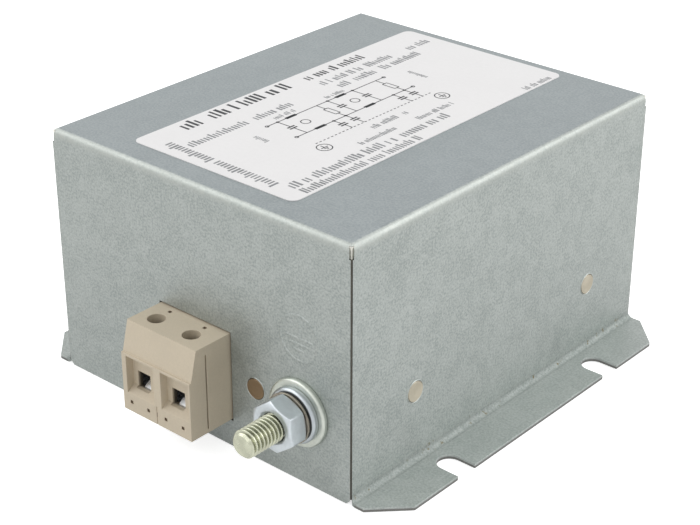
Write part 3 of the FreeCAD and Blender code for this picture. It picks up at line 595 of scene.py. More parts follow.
def corners_of(node):
    """The points of a solid's mesh."""
    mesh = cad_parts[node].data
    points = np.zeros(3 * len(mesh.vertices), np.float32)
    mesh.vertices.foreach_get("co", points)
    return points.reshape(-1, 3).astype(float)


def softened(node, name, material, width):
    """A copy of a solid with its triangles merged back into faces and its sharp edges rounded."""
    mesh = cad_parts[node].data.copy()
    mesh.name = name
    work = bmesh.new()
    work.from_mesh(mesh)
    bmesh.ops.remove_doubles(work, verts=work.verts, dist=WELD)
    bmesh.ops.dissolve_limit(work, angle_limit=FLAT_ANGLE, verts=work.verts, edges=work.edges)
    work.to_mesh(mesh)
    work.free()
    mesh.shade_smooth()
    mesh.set_sharp_from_angle(angle=EDGE_ANGLE)
    piece = settle(name, mesh, material, (node,))
    bevel = piece.modifiers.new("softened edges", "BEVEL")
    bevel.width = width
    bevel.segments = BEVEL_SEGMENTS
    bevel.limit_method = "ANGLE"
    bevel.angle_limit = BEVEL_ANGLE
    bevel.use_clamp_overlap = False
    bevel.harden_normals = True
    return piece


def rounded_section(sides, around, sharpness):
    """A rounded outline in polar form about its own middle.

    Each side is the angle of its outward normal and its distance from the middle. Along a ray, one over
    the radius is the sum, over the sides that the ray meets, of the cosine to the side over its distance
    to the power of the sharpness, and that sum to the power of one over the sharpness.
    """
    total = 0.0
    for direction, distance in sides:
        total = total + (np.maximum(np.cos(around - direction), 0.0) / distance) ** sharpness
    return total ** (-1 / sharpness)


def through(direction, radial, height):
    """The distance from a section's middle to a side with this normal that passes through a point."""
    return direction, radial * math.cos(direction) + height * math.sin(direction)


def turn_grid(samples):
    """Angles round an axis, evenly spaced, as one row."""
    return np.linspace(0, 2 * math.pi, samples, endpoint=False)[None, :]


def section_grid(samples):
    """Angles round a closed section, evenly spaced, as one column."""
    return turn_grid(samples).T


def pole_grid(samples):
    """Angles from one pole, a quarter turn back, to the other, a quarter turn on, as one column."""
    return np.linspace(-math.pi / 2, math.pi / 2, samples)[:, None]


def hexagon(flats, turn, angle, corners):
    """A rounded hexagon's outline: six sides half the flats' distance out, a sixth of a turn apart."""
    sides = [(turn + math.radians(30 + 60 * i), flats / 2) for i in range(6)]
    return rounded_section(sides, angle, corners)


def stud_axis():
    """The X and Z of the line stud's axis, from its large washer."""
    low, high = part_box("large_washers")
    radius = (high.z - low.z) / 2
    return high.x - radius, low.z + radius


def reach_of(node):
    """How far the pieces of a group stand out from the end walls."""
    return WALL_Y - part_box(node)[0].y


def on_wall(x, z, reach):
    """Points at an X and Z that stand out from the line end's wall by a reach."""
    return np.stack(np.broadcast_arrays(x, WALL_Y - reach, z), axis=-1)


def on_stud(radius, angle, reach):
    """Points round the line stud's axis: a radius, an angle and a reach out from the wall."""
    x, z = stud_axis()
    return on_wall(x + radius * np.cos(angle), z + radius * np.sin(angle), reach)


def at_both_ends(shape, points, round_rows=False):
    """Adds a grid at the line end and the same turned half round about Z at the load end."""
    shape.grid(points, round_rows)
    shape.grid(points * HALF_TURN, round_rows)


def under(surface, depths):
    """The marks of a zone that lies between two depths under a surface."""
    near, far = depths
    return surface - far, surface - near


def sheet_finish(colors):
    """Galvanised sheet: mottled grain, faint crystal patches, thin scratches and a tone for each zone,
    partly painted light and shade.

    The grain's tone is a weighted sum of fine noise, wide clouds and a random grey for each crystal. Each
    zone is a product of soft steps in the distance from the middle plane and in the height.
    """
    finish = Finish("galvanised sheet", roughness=0.5, metallic=0.7)
    side = finish.unsigned(finish.axis("X"))
    up = finish.axis("Z")
    grain = finish.noise(FINE_GRAIN, detail=6, roughness=0.7)
    cloud = finish.noise(SHEET_CLOUD, detail=4)
    crystal = finish.cells(CRYSTAL)
    tone = finish.weighted((grain, 0.84), (cloud, 0.16), (crystal, 0.06))
    base = finish.mix(finish.rise(tone, SHEET_TONES), colors.sheet_dark, colors.sheet)
    scratch = finish.rise(finish.noise(SCRATCH_SIZE, detail=2, roughness=0.4, distortion=0.4), SCRATCHES)
    base = finish.over(base, shade(colors.sheet, 1.25), scratch, share=0.25)
    flange = finish.rise(side, FLANGE_RISE)
    # Painted light: the flanges are lifted toward a lighter sheet colour.
    base = finish.over(base, shade(colors.sheet, 1.35), flange, share=0.12)
    foot = finish.times(finish.rise(side, FOOT_RISE), finish.band(up, *FOOT_BAND))
    flecks = finish.rise(finish.noise(FLECK_SIZE, detail=4), FLECKS)
    base = finish.over(base, colors.fleck, finish.times(flecks, foot))
    bend = finish.times(finish.band(side, *BEND_BAND), finish.fall(up, BEND_TOP))
    # Painted shade in the flange folds; the roughness rises there too.
    base = finish.over(base, colors.fold_shade, bend, share=0.2)
    cut = finish.times(flange, finish.band(up, *CUT_BAND))
    base = finish.over(base, colors.cut_edge, cut, share=0.8)
    # Painted shade on the top face.
    base = finish.over(base, colors.top_shade, finish.rise(up, TOP_SHADE_RISE), share=0.5)
    # Painted highlight, in patches, along the top folds.
    patchy_highlight = finish.rise(finish.noise(FOLD_HIGHLIGHT_PATCH, detail=5, roughness=0.75), FOLD_HIGHLIGHT_MARKS, start=0.25)
    base = finish.over(base, colors.fold_highlight, finish.times(finish.band(up, *FOLD_HIGHLIGHT_BAND), patchy_highlight))
    gloss = finish.math("ADD", cloud, finish.times(crystal, 0.1))
    rough = finish.rise(gloss, SHEET_GLOSS, start=0.44, end=0.56)
    rough = finish.math("ADD", rough, finish.times(bend, BEND_ROUGHER))
    finish.bump(grain, SHEET_RELIEF)
    return finish.surface(base, rough)


def eroded(finish, shown, variation, roughness, grain=FINE_GRAIN):
    """The colour and roughness of moulded plastic, and its fine eroded relief.

    The tone is half speckle and half clouds, and runs from a little darker to a little lighter.
    """
    speckle = finish.noise(grain)
    cloud = finish.noise(MOULD_CLOUD)
    finish.bump(speckle, MOULD_RELIEF)
    tone = finish.rise(finish.weighted((speckle, 0.5), (cloud, 0.5)), PATCHES)
    base = finish.mix(tone, shade(shown, 1 - variation), shade(shown, 1 + variation))
    return base, finish.rise(cloud, CLOUDS, start=roughness - 0.05, end=roughness + 0.05)


def moulded(name, shown, grain=FINE_GRAIN, roughness=0.45, specular=0.4, variation=0.05):
    """Moulded plastic or lacquer: slight speckle and clouding over a fine eroded grain."""
    finish = Finish(name, roughness=roughness, specular=specular)
    return finish.surface(*eroded(finish, shown, variation, roughness, grain))


def plated(name, shown, roughness, tint=None, metallic=0.9):
    """Plated or polished metal: a patchy tint, tiny dark pits and slightly uneven gloss."""
    finish = Finish(name, roughness=roughness, metallic=metallic)
    patch = finish.noise(PLATING_PATCH)
    pits = finish.noise(PIT_SIZE)
    base = finish.mix(finish.rise(patch, PATCHES), shown, tint or shade(shown, 0.9))
    base = finish.over(base, shade(shown, 0.4), finish.rise(pits, PITS), share=0.12)
    finish.bump(pits, PIT_RELIEF)
    return finish.surface(base, finish.rise(patch, CLOUDS, start=roughness - 0.05, end=roughness + 0.08))


def laminate_finish(colors):
    """Board laminate: green coating over copper tracks, told by wide cells, and a fine weave."""
    finish = Finish("board laminate", roughness=0.3, coat=0.3)
    tracks = finish.rise(finish.cells(TRACK_SIZE), TRACKS)
    base = finish.mix(tracks, colors.board, colors.track)
    base = finish.over(base, colors.weave, finish.cells(FINE_GRAIN), share=0.15)
    finish.bump(tracks, TRACK_RELIEF)
    return finish.surface(base)


def wire_finish(colors):
    """Enamelled copper wire: noise drawn out along the strands, with painted shade in the gaps between
    them.
    """
    finish = Finish("enamelled copper", roughness=0.22, metallic=0.7, coat=0.4)
    strand = finish.noise(STRAND_SIZE, detail=1)
    # Painted shade in the gaps between the strands.
    base = finish.mix(finish.rise(strand, STRANDS), colors.strand_gap_shade, colors.wire_light)
    base = finish.over(base, colors.enamel, finish.noise(SHINE_SIZE, detail=2), share=0.25)
    finish.bump(strand, STRAND_RELIEF)
    return finish.surface(base)


def fibre_finish(colors):
    """Pressed insulating board: noise drawn out and twisted into short fibres."""
    finish = Finish("fibre board", roughness=0.7, specular=0.25)
    fibre = finish.noise(FIBRE_SIZE, detail=4, distortion=1.0)
    base = finish.mix(finish.rise(fibre, PATCHES), colors.fibre_dark, colors.fibre_light)
    finish.bump(fibre, FIBRE_RELIEF)
    return finish.surface(base)


class CasePieces(bpy.types.Operator):
    """Finish the folded cover and the pan inside it"""
    bl_idname = "line_filter.case"
    bl_label = "Case"

    def execute(self, context):
        sizes = context.scene.filter_sizes
        colors = context.scene.filter_colors
        sheet = sheet_finish(colors)
        softened("housing_cover", "case_cover", sheet, sizes.sheet_edge)
        dress("base_pan", sheet)
        stamp_earth_mark(sheet, sizes)
        slot = CASE_HIGH.z - RELIEF_SLOT
        seam_edges("seam_edges", SEAM_BOTTOM, slot, SEAM_DEPTH,
                   plated("seam edge", colors.seam, roughness=0.6))
        # The pale bar in each relief slot is a painted highlight on the slot's inner corner.
        seam_edges("relief_corners", slot, CASE_HIGH.z - RELIEF_TOP, RELIEF_DEPTH,
                   plated("relief slot corner", colors.slot_highlight, roughness=0.5))
        return {"FINISHED"}


def seam_edges(name, low, high, depth, material):
    """What shows in each upright seam: the two walls' sheared edges, which nearly meet under the surface.
    In the relief slots the same bar, in a pale finish, is a painted highlight.

    At every corner it is a square bar inside the sheet, from one height to another, whose outer edge
    lies the given depth under both walls.
    """
    shape = Shape()
    inner, outer = CASE_WALL - SHEET, CASE_WALL - depth
    near, far = WALL_Y + depth, WALL_Y + SHEET
    lows = np.array([[inner, near, low], [-outer, near, low]])
    highs = np.array([[outer, far, high], [-inner, far, high]])
    shape.boxes(lows, highs, lambda corners: corners)
    shape.boxes(lows, highs, lambda corners: corners * HALF_TURN)
    shape.build(name, material, "galvanised_sheet")


def stamp_earth_mark(material, sizes):
    """The raised earth mark above each stud: a ring of oval section, an upright and three bars."""
    shape = Shape()
    x, z = stud_axis()
    z += MARK_RISE
    half = sizes.mark_line / 2
    angle = turn_grid(ROUND_COLUMNS)
    around = section_grid(MARK_SECTION)
    radius = MARK_RADIUS + half * np.cos(around)
    ring = on_wall(x + radius * np.cos(angle), z + radius * np.sin(angle), MARK_HEIGHT * np.sin(around))
    at_both_ends(shape, ring, round_rows=True)
    for wide, row in MARK_BARS:
        at_both_ends(shape, ridge(x, z + row * MARK_RADIUS, wide * MARK_RADIUS, half, 0))
    arm = MARK_UPRIGHT * MARK_RADIUS
    at_both_ends(shape, ridge(x, z + arm, arm, half, math.pi / 2))
    shape.build("earth_marks", material, "galvanised_sheet")


def ridge(x, z, reach, half, turn):
    """A low ridge on the end wall, from pole to pole along its length.

    The place along it is the sine of the latitude, and its thickness the latitude's cosine to a power
    below one, which keeps it full nearly to its ends.
    """
    latitude = pole_grid(RIDGE_ROWS)
    angle = turn_grid(MARK_SECTION)
    thick = half * np.cos(latitude) ** RIDGE_FULLNESS
    along = (reach + half) * np.sin(latitude)
    across = thick * np.cos(angle)
    rise = thick / half * MARK_HEIGHT * np.sin(angle)
    return on_wall(x + along * math.cos(turn) - across * math.sin(turn),
                   z + along * math.sin(turn) + across * math.cos(turn), rise)


class RivetPieces(bpy.types.Operator):
    """Make the polished rivet faces and the raised ring round each"""
    bl_idname = "line_filter.rivets"
    bl_label = "Rivets"

    def execute(self, context):
        sizes = context.scene.filter_sizes
        colors = context.scene.filter_colors
        low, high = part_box("cover_rivets")
        points = corners_of("cover_rivets")
        end_rivet = points[points[:, 1] < low.y + WELD]
        side_rivet = points[(points[:, 0] > high.x - WELD) & (points[:, 1] > 0)]
        end_x, _, end_z = middle(end_rivet)
        _, side_y, side_z = middle(side_rivet)
        radius = (end_rivet[:, 0].max() - end_rivet[:, 0].min()) / 2
        ends, sides, rings = Shape(), Shape(), Shape()
        for disc, on_end, on_side in ((rivet_face(radius), ends, sides),
                                      (rivet_ring(radius, sizes), rings, rings)):
            radial, angle, height = disc
            level, up = radial * np.cos(angle), radial * np.sin(angle)
            closed = on_end is rings
            at_both_ends(on_end, on_wall(end_x + level, end_z + up, height), round_rows=closed)
            for y in (-side_y, side_y):
                wall = np.broadcast_arrays(CASE_WALL + height, y + level, side_z + up)
                at_both_ends(on_side, np.stack(wall, axis=-1), round_rows=closed)
        # The end rivets' brown is a painted reflection of the terminal blocks.
        ends.build("end_rivets", plated("rivet, end", colors.rivet_end_reflection, roughness=0.3), "rivet_steel",
                   ("cover_rivets",))
        sides.build("side_rivets", plated("rivet, side", colors.rivet_side, roughness=0.35), "rivet_steel",
                    ("cover_rivets",))
        rings.build("rivet_rings", plated("rivet ring", shade(colors.sheet, 1.1), roughness=0.35),
                    "galvanised_sheet")
        return {"FINISHED"}


def middle(points):
    """The middle of the box round some points."""
    return (points.min(axis=0) + points.max(axis=0)) / 2


def rivet_face(radius):
    """A rivet's slug as radius, angle and height: a rounded section from pole to pole, slightly dished.

    The dish is deepest at the middle, and falls off with the fourth power of the radius.
    """
    around = pole_grid(RIVET_ROWS)
    half = (RIVET_PROUD + RIVET_DEPTH) / 2
    sides = [(0, radius), (math.pi / 2, half), (-math.pi / 2, half)]
    reach = rounded_section(sides, around, RIVET_SHARPNESS)
    radial = reach * np.cos(around)
    height = reach * np.sin(around) + RIVET_PROUD - half
    dish = np.where(around > 0, RIVET_DISH * (1 - (radial / radius) ** 4), 0)
    return radial, turn_grid(ROUND_COLUMNS), height - dish


def rivet_ring(radius, sizes):
    """The sheet's raised lip round a rivet: a ring of oval section, as radius, angle and height."""
    around = section_grid(RING_SECTION)
    radial = radius + sizes.rivet_ring * (RING_MIDDLE + RING_HALF * np.cos(around))
    return radial, turn_grid(ROUND_COLUMNS), RIVET_LIP * np.sin(around)


class StudPieces(bpy.types.Operator):
    """Make the threaded earth studs with their hexagon heads"""
    bl_idname = "line_filter.studs"
    bl_label = "Earth studs"

    def execute(self, context):
        sizes = context.scene.filter_sizes
        shape = Shape()
        at_both_ends(shape, threaded_stud(sizes))
        at_both_ends(shape, stud_head())
        zinc = thread_finish(sizes, context.scene.filter_colors)
        shape.build("threaded_studs", zinc, "yellow_zinc", ("earth_studs",))
        return {"FINISHED"}


def thread_finish(sizes, colors):
    """Yellow zinc with painted shade toward the roots of the thread, told by the distance from the axis.
    """
    finish = Finish("yellow zinc", roughness=0.24, metallic=0.9)
    x, z = stud_axis()
    across = finish.math("SUBTRACT", finish.unsigned(finish.axis("X")), x)
    up = finish.math("SUBTRACT", finish.axis("Z"), z)
    radius = finish.math("SQRT", finish.math("ADD", finish.times(across, across), finish.times(up, up)))
    end = reach_of("earth_studs") - WALL_Y
    root = finish.times(finish.fall(radius, under(sizes.stud_radius, (CREST_DEPTH, sizes.thread_depth))),
                        finish.fall(finish.unsigned(finish.axis("Y")), under(end, CONE_DEPTHS)))
    patch = finish.noise(THREAD_PATCH)
    base = finish.mix(finish.rise(patch, PATCHES), colors.yellow_zinc, shade(colors.yellow_zinc, 0.85))
    # Painted shade in the roots of the thread, fading out at the end cone.
    base = finish.over(base, shade(colors.yellow_zinc, 0.12), root, share=0.42)
    finish.bump(finish.noise(THREAD_PIT), PIT_RELIEF)
    return finish.surface(base, finish.rise(patch, CLOUDS, start=0.2, end=0.32))


def threaded_stud(sizes):
    """The stud's surface: the radius at each reach and angle is a thread wave under an end cone.

    The wave's phase is the reach over the pitch less the turn, and its height is the distance from the
    nearest groove, cut flat at crest and root and half rounded by a smooth step. The cone falls from the
    full radius to the end face. Both are joined by the same rounding as a section's sides, and a pole
    closes each end.
    """
    end = reach_of("earth_studs")
    start = reach_of("earth_nuts") - THREAD_HIDDEN
    rows = int(THREAD_ROWS * (end - start) / sizes.thread_pitch)
    reach = np.linspace(start, end, rows)[:, None]
    angle = turn_grid(THREAD_COLUMNS)
    phase = reach / sizes.thread_pitch - angle / (2 * math.pi)
    wave = np.abs(2 * (phase % 1.0) - 1)
    height = np.clip((wave - GROOVE_FLAT) / THREAD_FLANK, 0, 1)
    height = 0.5 * height + 0.5 * height ** 2 * (3 - 2 * height)
    radius = sizes.stud_radius - sizes.thread_depth * (1 - height)
    cone = sizes.stud_radius - STUD_CHAMFER + (end - reach) * math.tan(STUD_CONE)
    radius = (radius ** -CONE_SHARPNESS + cone ** -CONE_SHARPNESS) ** (-1 / CONE_SHARPNESS)
    plain = np.full((1, THREAD_COLUMNS), sizes.stud_radius - sizes.thread_depth)
    centre = np.zeros((1, THREAD_COLUMNS))
    radius = np.vstack([centre, plain, radius, radius[-1:] * 0.5, centre])
    reach = np.concatenate([[-SHEET], [-SHEET], reach[:, 0], [end], [end]])[:, None]
    return on_stud(radius, angle, reach)


def stud_head():
    """The hexagon head inside the wall: a rounded section from pole to pole, round a rounded hexagon."""
    around = pole_grid(HEAD_ROWS)
    angle = turn_grid(ROUND_COLUMNS)
    outline = hexagon(HEAD_FLATS, 0.0, angle, HEAD_CORNERS)
    half = HEAD_HEIGHT / 2
    sides = [(0, outline), (math.pi / 2, half), (-math.pi / 2, half)]
    reach = rounded_section(sides, around, HEAD_SHARPNESS)
    return on_stud(reach * np.cos(around), angle, reach * np.sin(around) - SHEET - half)


class WasherPieces(bpy.types.Operator):
    """Make the large and small flat washers and the toothed lock washers"""
    bl_idname = "line_filter.washers"
    bl_label = "Washers"

    def execute(self, context):
        colors = context.scene.filter_colors
        pale = plated("yellow zinc, washer", shade(colors.pale_zinc, 0.82), roughness=0.36,
                      tint=shade(colors.pale_zinc, 0.95))
        blue = plated("blue zinc, washer", shade(colors.blue_zinc, 0.76), roughness=0.34)
        back = 0.0
        for node, name, material, slot, edge in (
                ("large_washers", "large_flat_washers", pale, "yellow_zinc", LARGE_WASHER_EDGE),
                ("small_washers", "small_flat_washers", blue, "blue_zinc", SMALL_WASHER_EDGE)):
            shape = Shape()
            washer = flat_washer(outer_radius(node), back, reach_of(node), edge)
            at_both_ends(shape, washer, round_rows=True)
            shape.build(name, material, slot, (node,))
            back = reach_of(node)
        shape = Shape()
        washer = toothed_washer(outer_radius("lock_washers"), back, reach_of("lock_washers"))
        at_both_ends(shape, washer, round_rows=True)
        shape.build("toothed_lock_washers", lock_finish(colors), "spring_steel", ("lock_washers",))
        return {"FINISHED"}


def outer_radius(node):
    """The radius of the round solids that sit on the studs, from their furthest X."""
    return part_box(node)[1].x - stud_axis()[0]


def lock_finish(colors):
    """Oiled spring steel whose twisted teeth, behind the ring, are nearly black with painted shade."""
    finish = Finish("lock washer steel", roughness=0.4, metallic=0.8)
    patch = finish.noise(LOCK_PATCH)
    front = reach_of("lock_washers") - WALL_Y
    ring = finish.rise(finish.unsigned(finish.axis("Y")), under(front, TOOTH_DEPTHS))
    base = finish.mix(finish.rise(patch, PATCHES), colors.lock_steel, shade(colors.lock_steel, 0.8))
    # Painted shade: the teeth behind the ring are made nearly black.
    base = finish.mix(ring, shade(colors.lock_steel, 0.08), base)
    finish.bump(patch, MOULD_RELIEF)
    return finish.surface(base)


def flat_washer(outer, back, front, edge):
    """A punched washer: a rounded section with slanted front edges, carried round the stud.

    The section's sides are the rim, the bore and both faces, and slants of forty-five degrees that cut
    the rim's front edge by the full edge width and the bore's by half of it.
    """
    around = section_grid(WASHER_ROWS)
    middle_radius = (outer + WASHER_BORE) / 2
    wide = (outer - WASHER_BORE) / 2
    half = (front - back) / 2
    sides = [(0, wide), (math.pi, wide), (math.pi / 2, half), (-math.pi / 2, half),
             through(math.pi / 4, wide - edge, half), through(3 * math.pi / 4, -wide + edge / 2, half)]
    section = rounded_section(sides, around, WASHER_SHARPNESS)
    return on_stud(middle_radius + section * np.cos(around), turn_grid(WASHER_COLUMNS),
                   back + half + section * np.sin(around))


def toothed_washer(outer, back, front):
    """A lock washer: a thin ring beside the nut whose inner edge is cut into teeth, each one twisted.

    The inner radius is a steep wave between root and tip. Inside the root the ring is shifted along the
    axis by an amount that runs from one face's side to the other across each tooth.
    """
    around = section_grid(LOCK_ROWS)
    angle = turn_grid(LOCK_TEETH * TOOTH_COLUMNS)
    turn = (angle * LOCK_TEETH / (2 * math.pi)) % 1.0
    tooth = np.clip((TOOTH_HALF - np.abs(turn - 0.5)) / TOOTH_FLANK + 0.5, 0, 1)
    root = outer - LOCK_RING
    inner = root - (root - WASHER_BORE) * tooth
    middle_radius = outer - LOCK_RING / 2
    half = LOCK_SHEET / 2
    sides = [(0, LOCK_RING / 2), (math.pi, middle_radius - inner),
             (math.pi / 2, half), (-math.pi / 2, half)]
    section = rounded_section(sides, around, LOCK_SHARPNESS)
    radial = middle_radius + section * np.cos(around)
    depth = np.clip((root - radial) / (root - WASHER_BORE), 0, 1)
    twist = (front - back - LOCK_SHEET) * depth * (1 - turn)
    return on_stud(radial, angle, front - half + section * np.sin(around) - twist)


class NutPieces(bpy.types.Operator):
    """Make the chamfered hexagon nuts"""
    bl_idname = "line_filter.nuts"
    bl_label = "Nuts"

    def execute(self, context):
        blue_zinc = context.scene.filter_colors.blue_zinc
        shape = Shape()
        at_both_ends(shape, hexagon_nut(context.scene.filter_sizes), round_rows=True)
        blue = plated("blue zinc, nut", blue_zinc, roughness=0.34, tint=shade(blue_zinc, 0.88),
                      metallic=0.75)
        shape.build("hexagon_nuts", blue, "blue_zinc", ("earth_nuts",))
        return {"FINISHED"}


def hexagon_nut(sizes):
    """A nut's surface: a section round the middle of its wall, carried round the axis.

    The section's sides are the bore, the hexagon's flats, both faces, a chamfer of thirty degrees on each
    face and one of forty-five degrees at each end of the bore. Only the flats' distance changes with the
    angle, as the outline of a rounded hexagon turned as the solid's.
    """
    points = corners_of("earth_nuts")
    x, z = stud_axis()
    arm = points[points[:, 1] < 0] - np.array([x, 0, z])
    distance = np.hypot(arm[:, 0], arm[:, 2])
    corner = arm[distance.argmax()]
    turn = math.atan2(corner[2], corner[0])
    flats = 2 * distance.max() * math.cos(math.radians(30))
    angle = turn_grid(NUT_COLUMNS)
    outline = hexagon(flats, turn, angle, NUT_CORNERS)
    back = reach_of("lock_washers")
    half = (reach_of("earth_nuts") - back) / 2
    bore = sizes.stud_radius + NUT_CLEARANCE
    middle_radius = (bore + flats / 2) / 2
    face = sizes.nut_face - middle_radius
    opening = bore + sizes.bore_chamfer - middle_radius
    sides = [(math.pi, middle_radius - bore), (0, outline - middle_radius)]
    for sign in (-1, 1):
        sides.append((sign * math.pi / 2, half))
        sides.append(through(sign * NUT_CHAMFER, face, sign * half))
        sides.append(through(sign * BORE_SLANT, opening, sign * half))
    around = section_grid(NUT_ROWS)
    section = rounded_section(sides, around, NUT_SHARPNESS)
    return on_stud(middle_radius + section * np.cos(around), angle, back + half + section * np.sin(around))


def block_finish(colors):
    """Moulded plastic, with painted shade deep inside the wire entries and screw holes and in the small
    marks.

    Deep means past the entry pockets, well inside the sides, and falling with the depth below the top.
    The marks are told by their height on the face and their reach from the wall on the top.
    """
    finish = Finish("block plastic", roughness=0.5, specular=0.35)
    base, rough = eroded(finish, colors.plastic, variation=0.03, roughness=0.5)
    low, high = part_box("line_terminal_block")
    face = -low.y
    reach = finish.unsigned(finish.axis("Y"))
    up = finish.axis("Z")
    centre = finish.times(finish.math("SIGN", finish.axis("Y")), (low.x + high.x) / 2)
    side = finish.unsigned(finish.math("ADD", finish.axis("X"), centre))
    within = finish.fall(side, under((high.x - low.x) / 2, SIDE_DEPTHS))
    past = finish.fall(reach, under(face - POCKET_DEPTH, ENTRY_DEPTHS))
    deep = finish.times(past, finish.fall(up, under(high.z, SHAFT_DEPTHS)), within)
    face_row = finish.unsigned(finish.math("SUBTRACT", up, low.z + RECESS_ROW_Z))
    top_row = finish.unsigned(finish.math("SUBTRACT", reach, RECESS_ROW_Y))
    face_recess_shade = finish.times(finish.fall(reach, under(face, RECESS_DEPTHS)),
                              finish.fall(face_row, RECESS_HALF))
    top_recess_shade = finish.times(finish.fall(up, under(high.z, RECESS_DEPTHS)),
                             finish.fall(top_row, RECESS_HALF))
    marks = finish.times(finish.math("MAXIMUM", face_recess_shade, top_recess_shade), within)
    # Painted shade deep inside the wire entries and screw holes.
    base = finish.over(base, colors.cavity_shade, deep, share=0.88)
    # Painted shade in the small square recesses.
    base = finish.over(base, colors.mark, marks, share=0.85)
    return finish.surface(base, rough)


def clamp_lips(material):
    """The bright lower lip of each clamp in its wire entry: a wedge whose height grows with its depth."""
    points = corners_of("wire_clamps")
    line = points[points[:, 1] < 0]
    poles = np.array([line[:, 0].min() + CLAMP_HALF, line[:, 0].max() - CLAMP_HALF])
    floor = line[:, 2].min() + LIP_RISE
    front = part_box("line_terminal_block")[0].y + POCKET_DEPTH + LIP_SETBACK
    back = line[:, 1].min() + LIP_END_GAP
    lows = np.stack(np.broadcast_arrays(poles - LIP_LEFT, front, floor), axis=-1)
    highs = np.stack(np.broadcast_arrays(poles + LIP_RIGHT, back, floor + LIP_HEIGHT), axis=-1)

    def wedge(corners):
        """Lifts the upper corners by the slope times the depth."""
        x, y, z = np.moveaxis(corners, -1, 0)
        return np.stack([x, y, z + (z > floor + WELD) * (y - front) * LIP_SLOPE], axis=-1)

    shape = Shape()
    shape.boxes(lows, highs, wedge)
    shape.boxes(lows, highs, lambda corners: wedge(corners) * HALF_TURN)
    shape.build("clamp_lips", material, "terminal_metal")


class BlockPieces(bpy.types.Operator):
    """Finish the moulded terminal blocks and the metal inside them"""
    bl_idname = "line_filter.blocks"
    bl_label = "Terminal blocks"

    def execute(self, context):
        sizes = context.scene.filter_sizes
        colors = context.scene.filter_colors
        plastic = block_finish(colors)
        for end in ("line", "load"):
            softened(end + "_terminal_block", end + "_block", plastic, sizes.block_edge)
        nickel = plated("nickel", colors.nickel, roughness=0.28)
        dress("wire_clamps", nickel)
        clamp_lips(nickel)
        dress("clamp_screws", nickel)
        dress("busbars", plated("tinned copper", colors.tin, roughness=0.22))
        return {"FINISHED"}


class LabelPieces(bpy.types.Operator):
    """Finish the label's film and lay its plain print on it"""
    bl_idname = "line_filter.label"
    bl_label = "Label"

    def execute(self, context):
        sizes = context.scene.filter_sizes
        colors = context.scene.filter_colors
        dress("rating_label", moulded("label film", colors.label, grain=LABEL_GRAIN, roughness=0.42,
                                      specular=0.45, variation=0.015))
        ink = moulded("ink", colors.ink, roughness=0.6, specular=0.2, variation=0.12)
        grey = moulded("grey ink", colors.grey_ink, roughness=0.6, specular=0.2, variation=0.12)
        diagram(sizes).build("printed_diagram", ink, "label_film")
        plain_lines(sizes, BOLD_LINES).build("printed_headings", ink, "label_film")
        plain_lines(sizes, FINE_LINES).build("printed_lines", grey, "label_film")
        return {"FINISHED"}


def on_label(points):
    """Points given along, across and above the label, in place on it.

    The label's own directions are the main axes of its corners, and its start is the corner at the line
    end on the side away from positive X.
    """
    corners = corners_of("rating_label")
    centre = middle(corners)
    flat = corners[:, :2] - centre[:2]
    along = np.linalg.eigh(flat.T @ flat)[1][:, 1]
    along = along * np.sign(along[1])
    across = np.array([along[1], -along[0]])
    half = np.abs(flat @ np.stack([along, across], axis=-1)).max(axis=0)
    plane = centre[:2] + (points[..., :1] - half[0]) * along + (points[..., 1:2] - half[1]) * across
    return np.concatenate([plane, corners[:, 2].max() + points[..., 2:]], axis=-1)


def printed(shape, rectangles, height):
    """Adds flat printed rectangles, each as start and end along, start and end across, in millimetres."""
    edges = np.array(rectangles, float) * MM
    flat = np.zeros(len(edges))
    shape.boxes(np.stack([edges[:, 0], edges[:, 2], flat], axis=-1),
                np.stack([edges[:, 1], edges[:, 3], flat + height], axis=-1), on_label)


def printed_ring(shape, along, across, radius, line, height):
    """Adds a printed ring, or a disc where the line is as wide as the radius."""
    angle = turn_grid(RING_COLUMNS)
    inner = max(radius - line, 0.0)
    radii = np.array([inner, radius, radius, inner])[:, None] * MM
    rise = np.array([height, height, 0.0, 0.0])[:, None]
    points = np.stack(np.broadcast_arrays(along * MM + radii * np.cos(angle),
                                          across * MM + radii * np.sin(angle), rise), axis=-1)
    shape.grid(on_label(points), round_rows=inner > 0)


def plain_lines(sizes, lines):
    """Solid blocks in place of words, on lines that each run the longer way of their frame.

    The line is cut at even steps. Each step carries a block of random width and height, and some steps
    stay empty as the gaps between words.
    """
    shape = Shape()
    random = np.random.default_rng(LINE_SEED)
    blocks = []
    for start, end, foot, head in lines:
        upright = head - foot > end - start
        run, tall = (head - foot, end - start) if upright else (end - start, head - foot)
        step = LETTER_STEP * tall
        at = step * np.arange(int(run / step))
        wide = step * random.uniform(*LETTER_WIDTHS, len(at))
        size = np.where(random.random(len(at)) < TALL_SHARE, tall, LOW_LETTER * tall)
        kept = random.random(len(at)) > WORD_GAP
        at, wide, size = at[kept], wide[kept], size[kept]
        if upright:
            block = [start + tall - size, np.full(len(at), end), foot + at, foot + at + wide]
        else:
            block = [start + at, start + at + wide, head - size, np.full(len(at), head)]
        blocks.append(np.stack(block, axis=-1))
    printed(shape, np.concatenate(blocks), sizes.print_height)
    return shape


